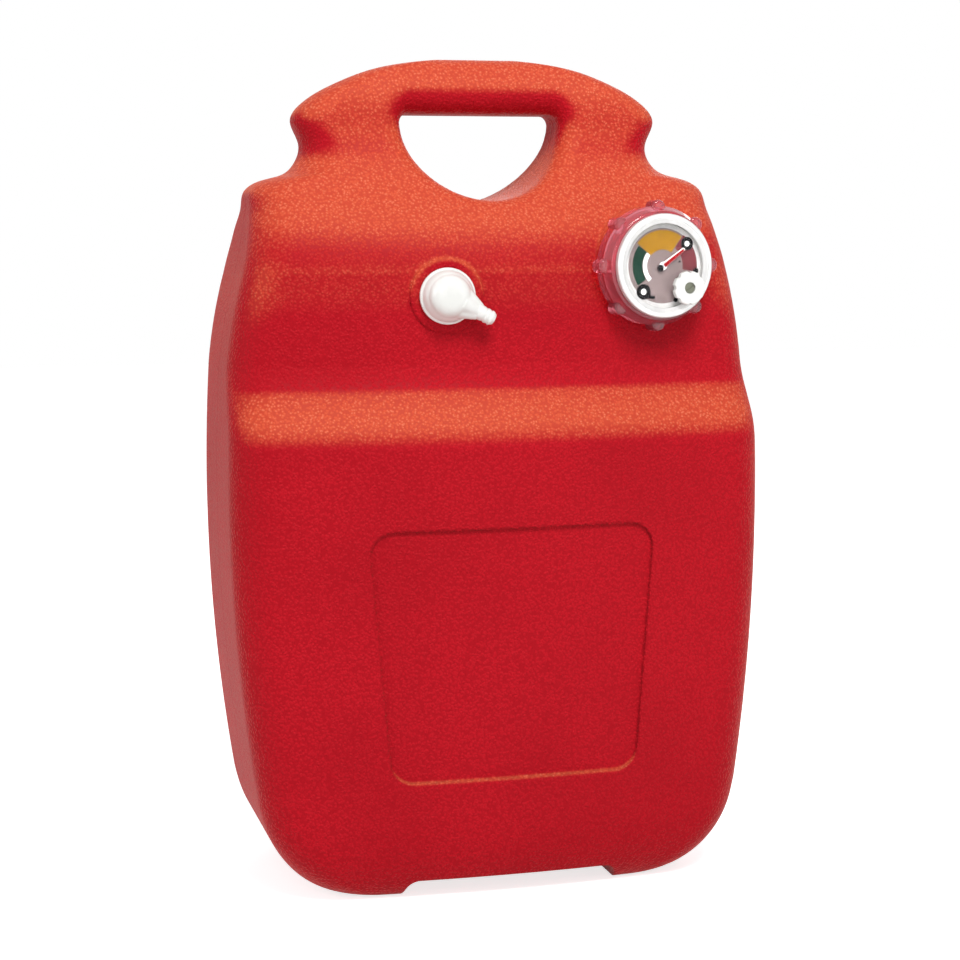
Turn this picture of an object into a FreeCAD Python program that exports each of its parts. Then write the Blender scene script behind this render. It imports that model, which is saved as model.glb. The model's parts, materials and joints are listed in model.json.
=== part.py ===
import FreeCAD, Part
import math
import os
import Sketcher

# Outboard fuel tank: an upright blow-moulded tank with a carrying handle, a screwed
# filler cap that holds a float gauge and a vent, and a swivelling hose fitting.
#
# Frame: X to the tank's right as seen from its front, Y to the back, Z up, in mm.
# The origin lies on the ground, under the middle of the tank.
#
# The cap and the hose fitting are drawn in frames of their own. In each, Z points
# straight out of the tank's front, Y points up, and zero height is the seat moulded
# on the tank. The fittings' bodies carry the Placement of that frame.

Vector = FreeCAD.Vector

SIZES = {
    # Tank outline, seen from the front.
    "sole_half_width": 100.0,
    "belly_half_width": 170.0,
    "belly_height": 245.0,
    "side_bow_radius": 1200.0,
    "bilge_width": 45.0,
    "bilge_rise": 60.0,
    "waist_height": 330.0,
    "waist_rise": 82.0,
    "waist_inset": 6.5,
    "shoulder_height": 438.0,
    "shoulder_half_width": 146.8,
    # Head outline above the shoulder: rises from the shoulder, and half widths.
    "shoulder_turn_rise": 4.5,
    "shoulder_turn_half_width": 141.5,
    "shoulder_edge_rise": 7.5,
    "shoulder_edge_half_width": 133.0,
    "saddle_rise": 11.5,
    "saddle_half_width": 121.0,
    "nape_rise": 18.0,
    "nape_half_width": 115.5,
    "notch_rise": 29.0,
    "notch_half_width": 113.2,
    "ear_rise": 44.5,
    "ear_half_width": 118.4,
    "ear_top_rise": 51.0,
    "ear_top_half_width": 115.0,
    "temple_rise": 62.5,
    "temple_half_width": 98.5,
    "brow_rise": 74.0,
    "brow_half_width": 72.5,
    "crest_rise": 80.4,
    "crest_half_width": 42.0,
    "crown_rise": 82.0,
    "crown_half_width": 27.0,
    # Tank profile, seen from the side.
    "front_depth": 95.0,
    "back_depth": 95.0,
    "heel_set": 25.0,
    "heel_rise": 45.0,
    "ledge_height": 305.5,
    "ledge_span": 50.0,
    "ledge_step": 21.0,
    "slope_drop": 52.0,
    "slope_span": 92.0,
    "handle_half_depth": 25.0,
    "handle_round_rise": 38.0,
    "crown_half_depth": 3.5,
    # Plan form of the tank.
    "front_crown_radius": 900.0,
    "front_corner_radius": 29.0,
    "handle_crown_radius": 4000.0,
    "back_corner_radius": 48.0,
    "tank_wall": 3.5,
    # Grip opening, feet and front panel.
    "grip_radius": 52.0,
    "grip_rise": 47.5,
    "grip_corner_radius": 6.0,
    "grip_edge_radius": 14.0,
    "foot_height": 12.0,
    "foot_gap_half_width": 70.0,
    "foot_gap_flare": 4.0,
    "foot_gap_radius": 9.0,
    "panel_bottom": 75.5,
    "panel_rise": 155.5,
    "panel_top_half_width": 91.0,
    "panel_bottom_half_width": 78.0,
    "panel_corner_radius": 15.0,
    "panel_depth": 1.8,
    # Filler neck and gasket.
    "neck_side": 95.5,
    "neck_height": 389.5,
    "neck_pad_radius": 36.5,
    "neck_pad_depth": 35.0,
    "neck_radius": 32.5,
    "neck_bore_radius": 27.0,
    "neck_rise": 9.0,
    "gasket_width": 4.8,
    "gasket_thickness": 2.0,
    # Gauge housing.
    "flange_radius": 32.2,
    "flange_thickness": 3.0,
    "cup_radius": 30.0,
    "cup_bore_radius": 26.5,
    "cup_rise": 7.5,
    "dial_ledge_width": 2.0,
    "dial_ledge_rise": 2.0,
    "floor_thickness": 3.0,
    "magnet_wall": 1.6,
    "spigot_depth": 6.0,
    "spigot_wall": 2.7,
    "stem_boss_radius": 16.5,
    "stem_boss_depth": 8.0,
    "stem_boss_bore_radius": 5.0,
    "pivot_seat_depth": 0.8,
    # Ring nut.
    "nut_foot_gap": 0.6,
    "nut_base_radius": 37.0,
    "nut_top_radius": 33.6,
    "nut_skirt_rise": 9.0,
    "nut_lip_thickness": 2.9,
    "nut_thread_fit": 0.08,
    "nut_round": 1.6,
    "lug_count": 8.0,
    "lug_radius": 4.6,
    "lug_circle_radius": 35.9,
    "lug_foot_rise": 0.9,
    "lug_rise": 11.0,
    "lug_round": 2.0,
    # Bezel, lens and dial.
    "bezel_radius": 32.0,
    "bezel_bore_radius": 26.0,
    "bezel_lip": 1.5,
    "bezel_round": 0.7,
    "lens_radius": 29.4,
    "lens_thickness": 1.5,
    "dial_radius": 26.2,
    "dial_thickness": 0.8,
    "dial_bore_radius": 1.6,
    # Needle, its spindle and the two magnets.
    "needle_length": 18.0,
    "needle_tail": 5.0,
    "needle_width": 2.2,
    "needle_tip_width": 0.8,
    "needle_thickness": 0.7,
    "needle_hub_radius": 2.6,
    "needle_gap": 0.6,
    "pivot_radius": 0.8,
    "spindle_radius": 1.2,
    "magnet_radius": 4.0,
    "magnet_thickness": 1.3,
    # Vent.
    "vent_side": 14.9,
    "vent_drop": 13.7,
    "vent_boss_radius": 5.0,
    "vent_hole_radius": 5.3,
    "vent_stem_radius": 2.5,
    "vent_stem_length": 12.5,
    "vent_seal_radius": 4.4,
    "vent_seal_thickness": 1.0,
    "vent_seal_gap": 0.03,
    "vent_knob_radius": 10.4,
    "vent_knob_thickness": 3.6,
    "vent_knob_round": 0.8,
    "vent_dish_radius": 3.6,
    "vent_dish_depth": 1.4,
    "vent_flute_count": 8.0,
    "vent_flute_radius": 2.2,
    "vent_flute_circle_radius": 11.6,
    # Float gauge.
    "float_travel": 118.0,
    "float_below_rest": 26.0,
    "dial_sweep": 230.0,
    "needle_rest_angle": 54.3,
    "float_radius": 20.0,
    "float_length": 22.0,
    "float_bore_radius": 5.5,
    "float_end_gap": 0.9,
    "float_edge": 2.0,
    "driver_radius": 9.0,
    "driver_thickness": 2.0,
    "driver_slot_gap": 0.3,
    "strip_width": 6.0,
    "strip_thickness": 0.8,
    "strip_pivot_radius": 1.2,
    "rod_radius": 1.6,
    "rod_circle_radius": 11.5,
    "cage_plate_thickness": 4.0,
    "cage_foot_radius": 15.0,
    "cage_foot_thickness": 3.0,
    "cage_round": 1.0,
    # Seat moulded on the tank for the hose fitting, and the fitting's base.
    "pickup_side": -37.0,
    "pickup_height": 372.4,
    "pickup_pad_radius": 22.7,
    "pickup_pad_rise": 1.6,
    "pickup_pad_round": 1.2,
    "pickup_boss_radius": 13.0,
    "pickup_boss_depth": 12.0,
    "washer_thickness": 1.5,
    "base_shank_radius": 8.0,
    "base_shank_depth": 14.0,
    "base_nipple_radius": 4.9,
    "base_nipple_length": 12.0,
    "base_bore_radius": 2.8,
    "base_flange_radius": 11.0,
    "base_flange_thickness": 3.0,
    "base_spigot_radius": 6.0,
    "base_spigot_rise": 8.3,
    "base_cap_thickness": 1.6,
    "seal_section_radius": 0.9,
    "seal_groove_rise": 1.6,
    "seal_groove_height": 2.0,
    "flow_groove_radius": 4.9,
    "flow_groove_height": 2.6,
    "flow_hole_radius": 1.2,
    # Elbow with its hose tail.
    "elbow_flange_radius": 17.3,
    "elbow_flange_thickness": 3.1,
    "elbow_flange_round": 1.0,
    "elbow_dome_radius": 13.5,
    "elbow_dome_round": 8.5,
    "elbow_crown_thickness": 3.2,
    "elbow_cavity_gap": 0.4,
    "tail_angle": -28.0,
    "tail_root_start": 9.0,
    "tail_root_radius": 7.4,
    "tail_root_reach": 18.5,
    "tail_radius": 4.1,
    "tail_land_radius": 4.75,
    "tail_land_length": 3.0,
    "tail_cone_length": 2.2,
    "tail_barb_land_length": 0.8,
    "tail_neck_length": 1.0,
    "tail_tip_radius": 3.4,
    "tail_bore_radius": 2.3,
    # Dip tube and strainer.
    "tube_radius": 6.4,
    "tube_lead": 4.0,
    "tube_bend_radius": 26.0,
    "tube_lean": 13.0,
    "tube_floor_gap": 30.0,
    "strainer_radius": 8.5,
    "strainer_wall": 1.2,
    "strainer_collar": 10.0,
    "strainer_drop": 24.0,
    "strainer_slot_count": 8.0,
    "strainer_slot_width": 2.4,
    "strainer_slot_length": 16.0,
    # Clearances.
    "running_fit": 0.06,
    "moving_gap": 0.3,
}

document = FreeCAD.newDocument("outboard_fuel_tank")
sheet = document.addObject("Spreadsheet::Sheet", "Sizes")
for row, (size_name, size_value) in enumerate(SIZES.items(), start=1):
    sheet.set("A%d" % row, size_name.replace("_", " "))
    sheet.set("B%d" % row, repr(size_value))
    sheet.setAlias("B%d" % row, size_name)
document.recompute()


class Size:
    """A size with its number and the sheet expression that gives it."""

    def __init__(self, number, text):
        self.number = number
        self.text = text

    def _join(self, other, sign, number):
        return Size(number, "(%s %s %s)" % (self.text, sign, as_size(other).text))

    def __add__(self, other):
        return self._join(other, "+", self.number + as_size(other).number)

    def __sub__(self, other):
        return self._join(other, "-", self.number - as_size(other).number)

    def __mul__(self, other):
        return self._join(other, "*", self.number * as_size(other).number)

    def __truediv__(self, other):
        return self._join(other, "/", self.number / as_size(other).number)

    def __neg__(self):
        return Size(-self.number, "(-%s)" % self.text)

    def __float__(self):
        return float(self.number)


def as_size(value):
    """A plain number as a Size, and a Size as it is."""
    return value if isinstance(value, Size) else Size(float(value), repr(float(value)))


class Sheet:
    """Reads the sizes from the spreadsheet by their aliases."""

    def __getattr__(self, name):
        return Size(float(getattr(sheet, name)), "Sizes." + name)


S = Sheet()


# ---------------------------------------------------------------- small helpers

def number(name):
    """A size of the sheet as a plain number."""
    return float(getattr(S, name))


def bind(feature, prop, value):
    """Set a property and bind it to the sheet."""
    value = as_size(value)
    setattr(feature, prop, value.number)
    feature.setExpression(prop, value.text)


def new_body(name):
    """A PartDesign body with its own label."""
    body = document.addObject("PartDesign::Body", name)
    body.Label = name
    return body


def origin_plane(body, role):
    """One of a body's own origin planes."""
    return [item for item in body.Origin.OriginFeatures if item.Role == role][0]


def new_sketch(body, name, plane, height=0.0):
    """A sketch on one of the body's origin planes, raised by a height."""
    sketch = body.newObject("Sketcher::SketchObject", name)
    sketch.AttachmentSupport = (origin_plane(body, plane), [""])
    sketch.MapMode = "FlatFace"
    height = as_size(height)
    sketch.AttachmentOffset = FreeCAD.Placement(Vector(0, 0, height.number), FreeCAD.Rotation())
    sketch.setExpression("AttachmentOffset.Base.z", height.text)
    return sketch


def pin_coordinate(sketch, geometry, point, axis, value):
    """Tie one coordinate of a sketch point to a size."""
    kind = "DistanceX" if axis == 0 else "DistanceY"
    if value.text == "0.0":
        sketch.addConstraint(Sketcher.Constraint("PointOnObject", geometry, point, -2 + axis))
        return
    if value.number < 0:
        value = -value
        ends = (geometry, point, -1, 1)
    else:
        ends = (-1, 1, geometry, point)
    index = sketch.addConstraint(Sketcher.Constraint(kind, *ends, value.number))
    sketch.setExpression("Constraints[%d]" % index, value.text)


def draw_outline(sketch, points):
    """A closed outline of straight lines whose corners are tied to sizes."""
    points = [(as_size(across), as_size(along)) for across, along in points]
    count = len(points)
    first = sketch.GeometryCount
    for index in range(count):
        start = points[index]
        end = points[(index + 1) % count]
        sketch.addGeometry(Part.LineSegment(
            Vector(start[0].number, start[1].number, 0),
            Vector(end[0].number, end[1].number, 0)), False)
    for index in range(count):
        following = first + (index + 1) % count
        sketch.addConstraint(Sketcher.Constraint("Coincident", first + index, 2, following, 1))
    for index in range(count):
        pin_coordinate(sketch, first + index, 1, 0, points[index][0])
        pin_coordinate(sketch, first + index, 1, 1, points[index][1])


def draw_circle(sketch, radius, across=0.0, along=0.0):
    """A circle with its centre and radius tied to sizes."""
    radius, across, along = as_size(radius), as_size(across), as_size(along)
    index = sketch.addGeometry(Part.Circle(
        Vector(across.number, along.number, 0), Vector(0, 0, 1), radius.number), False)
    pin_coordinate(sketch, index, 3, 0, across)
    pin_coordinate(sketch, index, 3, 1, along)
    limit = sketch.addConstraint(Sketcher.Constraint("Radius", index, radius.number))
    sketch.setExpression("Constraints[%d]" % limit, radius.text)


def turn(body, name, points):
    """Turn an outline of (radius, height) points about the body's Z axis."""
    sketch = new_sketch(body, name + "_outline", "XZ_Plane")
    draw_outline(sketch, points)
    feature = body.newObject("PartDesign::Revolution", name)
    feature.Profile = sketch
    feature.ReferenceAxis = (sketch, ["V_Axis"])
    feature.Angle = 360.0
    return feature


def raise_circle(body, name, kind, radius, bottom, rise, across=0.0, along=0.0, down=False):
    """Pad or pocket a circle from a height, up or down by a rise."""
    sketch = new_sketch(body, name + "_circle", "XY_Plane", bottom)
    draw_circle(sketch, radius, across, along)
    feature = body.newObject(kind, name)
    feature.Profile = sketch
    bind(feature, "Length", rise)
    feature.Reversed = down if kind == "PartDesign::Pad" else not down
    return feature


def drill(body, name, radius, top, depth, across=0.0, along=0.0):
    """A round pocket cut downwards from a height."""
    return raise_circle(body, name, "PartDesign::Pocket", radius, top, depth, across, along, True)


def repeat_round(body, name, features, count):
    """Repeat features evenly about the body's Z axis."""
    pattern = body.newObject("PartDesign::PolarPattern", name)
    pattern.Originals = features
    pattern.Axis = (origin_axis(body), [""])
    pattern.Angle = 360.0
    pattern.Occurrences = int(float(count))
    pattern.setExpression("Occurrences", as_size(count).text)
    body.Tip = pattern
    return pattern


def origin_axis(body):
    """The body's own Z axis."""
    return [item for item in body.Origin.OriginFeatures if item.Role == "Z_Axis"][0]


def round_edges(body, name, radius, chosen, kind="PartDesign::Fillet", size="Radius"):
    """Fillet or chamfer those edges of the body's tip for which chosen(edge) is true."""
    document.recompute()
    base = body.Tip
    edges = ["Edge%d" % index for index, edge in enumerate(base.Shape.Edges, start=1)
             if chosen(edge)]
    feature = body.newObject(kind, name)
    feature.Base = (base, edges)
    bind(feature, size, radius)
    body.Tip = feature
    return feature


def ring_edge(radius, height, near=0.05):
    """A test for the round edge of a radius at a height about the Z axis."""
    radius, height = float(radius), float(height)

    def chosen(edge):
        centre = edge.CenterOfMass
        curve = edge.Curve
        return (hasattr(curve, "Radius") and abs(curve.Radius - radius) < near
                and abs(curve.Center.z - height) < near
                and math.hypot(curve.Center.x, curve.Center.y) < near
                and abs(centre.z - height) < near)
    return chosen


# ---------------------------------------------------------------- tank form

def quarter_round(depth, rise, height):
    """How far a quarter-ellipse edge stands in from its face at a height."""
    left = max(0.0, 1.0 - height / rise)
    return depth * (1.0 - math.sqrt(1.0 - left * left))


def soft_step(start, span, height):
    """A smooth step from nought to one that begins at start and lasts a span."""
    share = min(1.0, max(0.0, (height - start) / span))
    return share * share * (3.0 - 2.0 * share)


def smooth_through(points, place):
    """A smooth curve without overshoot through (place, value) points."""
    last = len(points) - 1
    index = 0
    while index < last - 1 and place > points[index + 1][0]:
        index += 1

    def rise(at):
        return (points[at + 1][1] - points[at][1]) / (points[at + 1][0] - points[at][0])

    def slope(at):
        if at == 0 or at == last:
            return rise(min(at, last - 1))
        before, after = rise(at - 1), rise(at)
        return 0.0 if before * after <= 0 else 2.0 * before * after / (before + after)

    start, end = points[index], points[index + 1]
    span = end[0] - start[0]
    share = min(1.0, max(0.0, (place - start[0]) / span))
    rest = 1.0 - share
    return (start[1] * (1 + 2 * share) * rest ** 2 + slope(index) * span * share * rest ** 2
            + end[1] * share ** 2 * (3 - 2 * share) - slope(index + 1) * span * share ** 2 * rest)


HEAD_STATIONS = ("shoulder_turn", "shoulder_edge", "saddle", "nape", "notch", "ear",
                 "ear_top", "temple", "brow", "crest", "crown")


def side_half_width(height):
    """Half width of the tank's lower and middle part at a height."""
    off_belly = height - number("belly_height")
    bow = number("side_bow_radius") - math.sqrt(number("side_bow_radius") ** 2 - off_belly ** 2)
    bilge = quarter_round(number("bilge_width") - bow_shift(), number("bilge_rise"), height)
    waist = number("waist_inset") * soft_step(number("waist_height"), number("waist_rise"), height)
    return number("belly_half_width") - bow - bilge - waist


def bow_shift():
    """What the bilge round leaves to the bow of the side at the ground."""
    bow = number("side_bow_radius")
    sink = bow - math.sqrt(bow ** 2 - number("belly_height") ** 2)
    return sink - (number("belly_half_width") - number("sole_half_width") - number("bilge_width"))


def half_width(height):
    """Half width of the tank at a height, head included."""
    shoulder = number("shoulder_height")
    if height <= shoulder:
        blend = soft_step(shoulder - number("waist_rise"), number("waist_rise"), height)
        drift = number("shoulder_half_width") - side_half_width(shoulder)
        return side_half_width(height) + drift * blend
    points = [(shoulder, number("shoulder_half_width"))]
    points += [(shoulder + number(name + "_rise"), number(name + "_half_width"))
               for name in HEAD_STATIONS]
    return smooth_through(points, height)


def head_half_depth(height):
    """Half depth of the handle ring, rounded off towards its crown."""
    crown = number("shoulder_height") + number("crown_rise")
    share = max(0.0, (height - crown + number("handle_round_rise")) / number("handle_round_rise"))
    full = number("handle_half_depth")
    least = number("crown_half_depth")
    return least + (full - least) * math.sqrt(max(0.0, 1.0 - share * share))


def face_depth(height, full_depth, upper_depth):
    """Distance of the front or back from the mould's parting plane at a height."""
    heel = quarter_round(number("heel_set"), number("heel_rise"), height)
    ledge = soft_step(number("ledge_height") - number("ledge_span") / 2,
                      number("ledge_span"), height)
    slope = soft_step(number("shoulder_height") - number("slope_drop"),
                      number("slope_span"), height)
    depth = full_depth - heel - (full_depth - upper_depth) * ledge
    return depth + (head_half_depth(height) - depth) * slope


def front_depth(height):
    """Depth of the front, with its ledge, at a height."""
    return face_depth(height, number("front_depth"), number("front_depth") - number("ledge_step"))


def back_depth(height):
    """Depth of the flat back at a height."""
    return face_depth(height, number("back_depth"), number("back_depth"))


def mirrored(point):
    """The same point on the tank's other side."""
    return Vector(-point.x, point.y, point.z)


# The largest part of the tank's thickness at its side that one round corner takes.
CORNER_SHARE = 0.44


def crown_radius(height):
    """Radius of the front's crown in plan, which flattens towards the handle."""
    slope = soft_step(number("shoulder_height") - number("slope_drop"),
                      number("slope_span"), height)
    bend = 1 / number("front_crown_radius")
    return 1 / (bend + (1 / number("handle_crown_radius") - bend) * slope)


def tank_section(height, inset=0.0):
    """The tank's outline at a height as eight arcs and lines, each with three corners.

    Each piece is (start, corner, end, weight) of a rational quadratic curve: the front's
    crown, a front corner, a side and a back corner on the right, the flat back, and the
    same three on the left.
    """
    wide = half_width(height) - inset
    front = front_depth(height) - inset
    back = back_depth(height) - inset
    crown = crown_radius(height)
    crown_centre = crown - front
    edge_depth = front + back - wide * wide / (2 * crown)
    front_round = min(number("front_corner_radius") - inset / 2, CORNER_SHARE * edge_depth)
    back_round = min(number("back_corner_radius") - inset / 2, CORNER_SHARE * edge_depth)
    corner_x = wide - front_round
    corner_y = crown_centre - math.sqrt((crown - front_round) ** 2 - corner_x ** 2)
    lean = math.atan2(corner_x, crown_centre - corner_y)
    half_bend = (math.pi / 2 - lean) / 2
    start = Vector(crown * math.sin(lean), crown_centre - crown * math.cos(lean), height)
    side = Vector(wide, corner_y, height)
    side_end = Vector(wide, back - back_round, height)
    back_end = Vector(wide - back_round, back, height)
    crown_tip = Vector(0, crown_centre - crown / math.cos(lean), height)
    bend_tip = Vector(wide, corner_y - front_round * math.tan(half_bend), height)
    back_tip = Vector(wide, back, height)
    right = [(start, bend_tip, side, math.cos(half_bend)),
             (side, (side + side_end) / 2, side_end, 1.0),
             (side_end, back_tip, back_end, math.sqrt(0.5))]
    left = [(mirrored(end), mirrored(tip), mirrored(begin), weight)
            for begin, tip, end, weight in reversed(right)]
    return ([(mirrored(start), crown_tip, start, math.cos(lean))] + right
            + [(back_end, Vector(0, back, height), mirrored(back_end), 1.0)] + left)


# Number of spans between the loft's sections in each stretch of the height.
BILGE_SPAN_COUNT = 5
BELLY_SPAN_COUNT = 4
LEDGE_SPAN_COUNT = 5
UPPER_SPAN_COUNT = 2
SLOPE_SPAN_COUNT = 5
CROWN_SPAN_COUNT = 5
# Two places closer than this count as one.
SAME_PLACE = 1e-6
CROWN_HEIGHT = number("shoulder_height") + number("crown_rise")


def even_heights(start, end, spans):
    """Evenly spaced heights after start, up to end."""
    return [start + (end - start) * (step + 1) / spans for step in range(spans)]


def calm_stretches():
    """The stretches where the walls hardly turn: the belly and above the ledge."""
    ledge_start = number("ledge_height") - number("ledge_span") / 2
    ledge_end = ledge_start + number("ledge_span")
    return ((number("bilge_rise"), ledge_start),
            (ledge_end, number("shoulder_height") - number("slope_drop")))


def loft_heights(bottom, top):
    """Heights of the loft's sections, close together where the form turns quickly."""
    (bilge_end, ledge_start), (ledge_end, slope_start) = calm_stretches()
    shoulder = number("shoulder_height")
    crown_start = CROWN_HEIGHT - number("handle_round_rise")
    turns = [math.pi / 2 * step / BILGE_SPAN_COUNT for step in range(BILGE_SPAN_COUNT + 1)]
    heights = [bilge_end * (1 - math.cos(turn)) for turn in turns]
    heights += even_heights(bilge_end, ledge_start, BELLY_SPAN_COUNT)
    heights += even_heights(ledge_start, ledge_end, LEDGE_SPAN_COUNT)
    heights += even_heights(ledge_end, slope_start, UPPER_SPAN_COUNT)
    heights += even_heights(slope_start, shoulder, SLOPE_SPAN_COUNT)
    head = [shoulder + number(name + "_rise") for name in HEAD_STATIONS]
    heights += [height for height in head if height < crown_start]
    turns = [math.pi / 2 * step / CROWN_SPAN_COUNT for step in range(CROWN_SPAN_COUNT + 1)]
    heights += [crown_start + number("handle_round_rise") * math.sin(turn) for turn in turns]
    return [bottom] + [height for height in heights if bottom < height < top] + [top]


def loft_spans(heights, hidden):
    """The sections that each strip joins, and whether it is drawn through those alone.

    A calm stretch is drawn through its own sections, so that the flat back stays flat.
    """
    if hidden:
        return [(index, index + 1, True) for index in range(len(heights) - 1)]
    turns = [height for stretch in calm_stretches() for height in stretch]
    ends = [index for index, height in enumerate(heights)
            if height in (heights[0], heights[-1])
            or any(abs(height - turn) < SAME_PLACE for turn in turns)]
    spans = []
    for first, last in zip(ends, ends[1:]):
        middle = (heights[first] + heights[last]) / 2
        calm = any(start < middle < end for start, end in calm_stretches())
        spans.append((first, last, calm))
    return spans


def along_skin(sections):
    """How far along the skin each section lies, measured at a front corner."""
    places = [0.0]
    for below, above in zip(sections, sections[1:]):
        places.append(places[-1] + (above[1][1] - below[1][1]).Length)
    return places


def row_between(points, places, span):
    """A smooth curve through points, from one of its places to another."""
    first, last, alone = span
    curve = Part.BSplineCurve()
    if alone:
        curve.interpolate(Points=points[first:last + 1], Parameters=places[first:last + 1])
    else:
        curve.interpolate(Points=points, Parameters=places)
        curve.segment(places[first], places[last])
    return curve


def skin_strip(pieces, places, span):
    """One strip of the skin, from section to section."""
    starts = row_between([piece[0] for piece in pieces], places, span)
    tips = row_between([piece[1] * piece[3] for piece in pieces], places, span)
    ends = row_between([piece[2] for piece in pieces], places, span)
    weights = [pole.x for pole in row_between(
        [Vector(piece[3], 0, place) for piece, place in zip(pieces, places)],
        places, span).getPoles()]
    middle = [pole / weight for pole, weight in zip(tips.getPoles(), weights)]
    ones = [1.0] * len(middle)
    surface = Part.BSplineSurface()
    surface.buildFromPolesMultsKnots(
        [starts.getPoles(), middle, ends.getPoles()], [3, 3], starts.getMultiplicities(),
        [0.0, 1.0], starts.getKnots(), False, False, 2, starts.Degree, [ones, weights, ones])
    strip = surface.toShape()
    plane = strip.findPlane(SAME_PLACE)
    return Part.Face(plane, strip.OuterWire) if plane else strip


def lies_level(edge, height):
    """True for an edge that lies wholly at a height."""
    box = edge.BoundBox
    return max(abs(box.ZMin - height), abs(box.ZMax - height)) < SAME_PLACE


def tank_loft(bottom, top, inset=0.0, hidden=False):
    """The tank's form, or its inset form, between two heights.

    A hidden form has straight walls from section to section.
    """
    heights = loft_heights(bottom, top)
    sections = [tank_section(height, inset) for height in heights]
    places = along_skin(sections)
    strips = [skin_strip(pieces, places, span) for pieces in zip(*sections)
              for span in loft_spans(heights, hidden)]
    rims = []
    for height in (bottom, top):
        edges = [edge for strip in strips for edge in strip.Edges if lies_level(edge, height)]
        rims.append(Part.Face(Part.Wire(Part.__sortEdges__(edges))))
    shell = Part.makeShell(strips + rims)
    shell.sewShape()
    solid = Part.Solid(shell)
    if solid.Volume < 0:
        solid.reverse()
    return solid


def grip_outline(growth, depth):
    """The grip opening's outline at a depth: flat on top, half round below."""
    radius = number("grip_radius") + growth
    top = number("shoulder_height") + number("grip_rise") + growth
    corner = number("grip_corner_radius") + growth
    centre = number("shoulder_height") + number("grip_rise") - number("grip_corner_radius") / 2
    drop = top - corner - centre
    corner_x = math.sqrt((radius - corner) ** 2 - drop ** 2)
    lean = math.atan2(drop, corner_x)
    middle = (math.pi / 2 + lean) / 2

    def at(across, height):
        return Vector(across, depth, height)

    flat_end = at(corner_x, top)
    bend = at(corner_x + corner * math.cos(middle), top - corner + corner * math.sin(middle))
    side = at(radius * math.cos(lean), centre + radius * math.sin(lean))
    edges = [
        Part.LineSegment(mirrored(flat_end), flat_end),
        Part.Arc(flat_end, bend, side),
        Part.Arc(side, at(0, centre - radius), mirrored(side)),
        Part.Arc(mirrored(side), mirrored(bend), mirrored(flat_end)),
    ]
    return Part.Wire([edge.toShape() for edge in edges])


def grip_prism(growth=0.0):
    """A prism of the grip opening that passes through the whole tank."""
    reach = number("front_depth") + number("back_depth")
    face = Part.Face(grip_outline(growth, -reach))
    return face.extrude(Vector(0, 2 * reach, 0))


def rounded_polygon(corners, radius):
    """A face in the XZ plane with round corners, from its corner points."""
    outline = Part.makePolygon([Vector(x, 0, z) for x, z in corners + corners[:1]])
    face = Part.Face(outline)
    prism = face.extrude(Vector(0, 1, 0))
    uprights = [edge for edge in prism.Edges
                if abs(edge.Vertexes[0].Point.y - edge.Vertexes[-1].Point.y) > 0.5]
    prism = prism.makeFillet(radius, uprights)
    return [face for face in prism.Faces
            if abs(face.CenterOfMass.y) < 1e-6 and abs(face.normalAt(0, 0).y) > 0.99][0]


def fitting_frame(side, height):
    """The frame of a fitting that stands square on the crowned front."""
    crown = number("front_crown_radius")
    lean = math.asin(side / crown)
    seat = Vector(side, -front_depth(height) + crown * (1 - math.cos(lean)), height)
    out = Vector(math.sin(lean), -math.cos(lean), 0)
    across = Vector(math.cos(lean), math.sin(lean), 0)
    up = Vector(0, 0, 1)
    matrix = FreeCAD.Matrix(across.x, up.x, out.x, seat.x,
                            across.y, up.y, out.y, seat.y,
                            across.z, up.z, out.z, seat.z,
                            0, 0, 0, 1)
    return FreeCAD.Placement(matrix)


CAP_FRAME = fitting_frame(number("neck_side"), number("neck_height"))
PICKUP_FRAME = fitting_frame(number("pickup_side"), number("pickup_height"))


def moved(frame, across=0.0, up=0.0, out=0.0, turn_angle=0.0):
    """A frame shifted in its own directions and turned about its own Z."""
    shift = Vector(float(across), float(up), float(out))
    return frame.multiply(FreeCAD.Placement(shift, FreeCAD.Rotation(Vector(0, 0, 1), turn_angle)))


def form(name, shape):
    """A document object that holds a shape made from the sheet's sizes."""
    feature = document.addObject("Part::Feature", name)
    feature.Shape = shape
    return feature


def cylinder(name, frame, radius, bottom, height):
    """A cylinder along a fitting's axis from a height over its seat."""
    feature = document.addObject("Part::Cylinder", name)
    bind(feature, "Radius", radius)
    bind(feature, "Height", height)
    feature.Placement = moved(frame, out=bottom)
    return feature


def cut_away(name, base, tool):
    """One object cut from another."""
    feature = document.addObject("Part::Cut", name)
    feature.Base = base
    feature.Tool = tool
    document.recompute()
    return feature


def join(name, pieces):
    """Several objects joined into one."""
    feature = document.addObject("Part::MultiFuse", name)
    feature.Shapes = pieces
    document.recompute()
    return feature


def fillet_object(name, base, radius, chosen):
    """A fillet on those edges of an object for which chosen(edge) is true."""
    document.recompute()
    feature = document.addObject("Part::Fillet", name)
    feature.Base = base
    radius = float(radius)
    feature.Edges = [(index, radius, radius)
                     for index, edge in enumerate(base.Shape.Edges, start=1) if chosen(edge)]
    document.recompute()
    return feature


# ---------------------------------------------------------------- tank shell

def is_grip_rim(edge):
    """True for the edges where the grip opening leaves the handle ring."""
    box = edge.BoundBox
    centre = number("shoulder_height") + number("grip_rise")
    reach = number("grip_radius") + number("grip_corner_radius")
    within = (box.XMin > -reach and box.XMax < reach and box.ZMin > centre - reach
              and box.ZMax < centre + number("grip_corner_radius"))
    off_middle = number("handle_half_depth") / 2
    return within and (box.YMax < -off_middle or box.YMin > off_middle)


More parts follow.
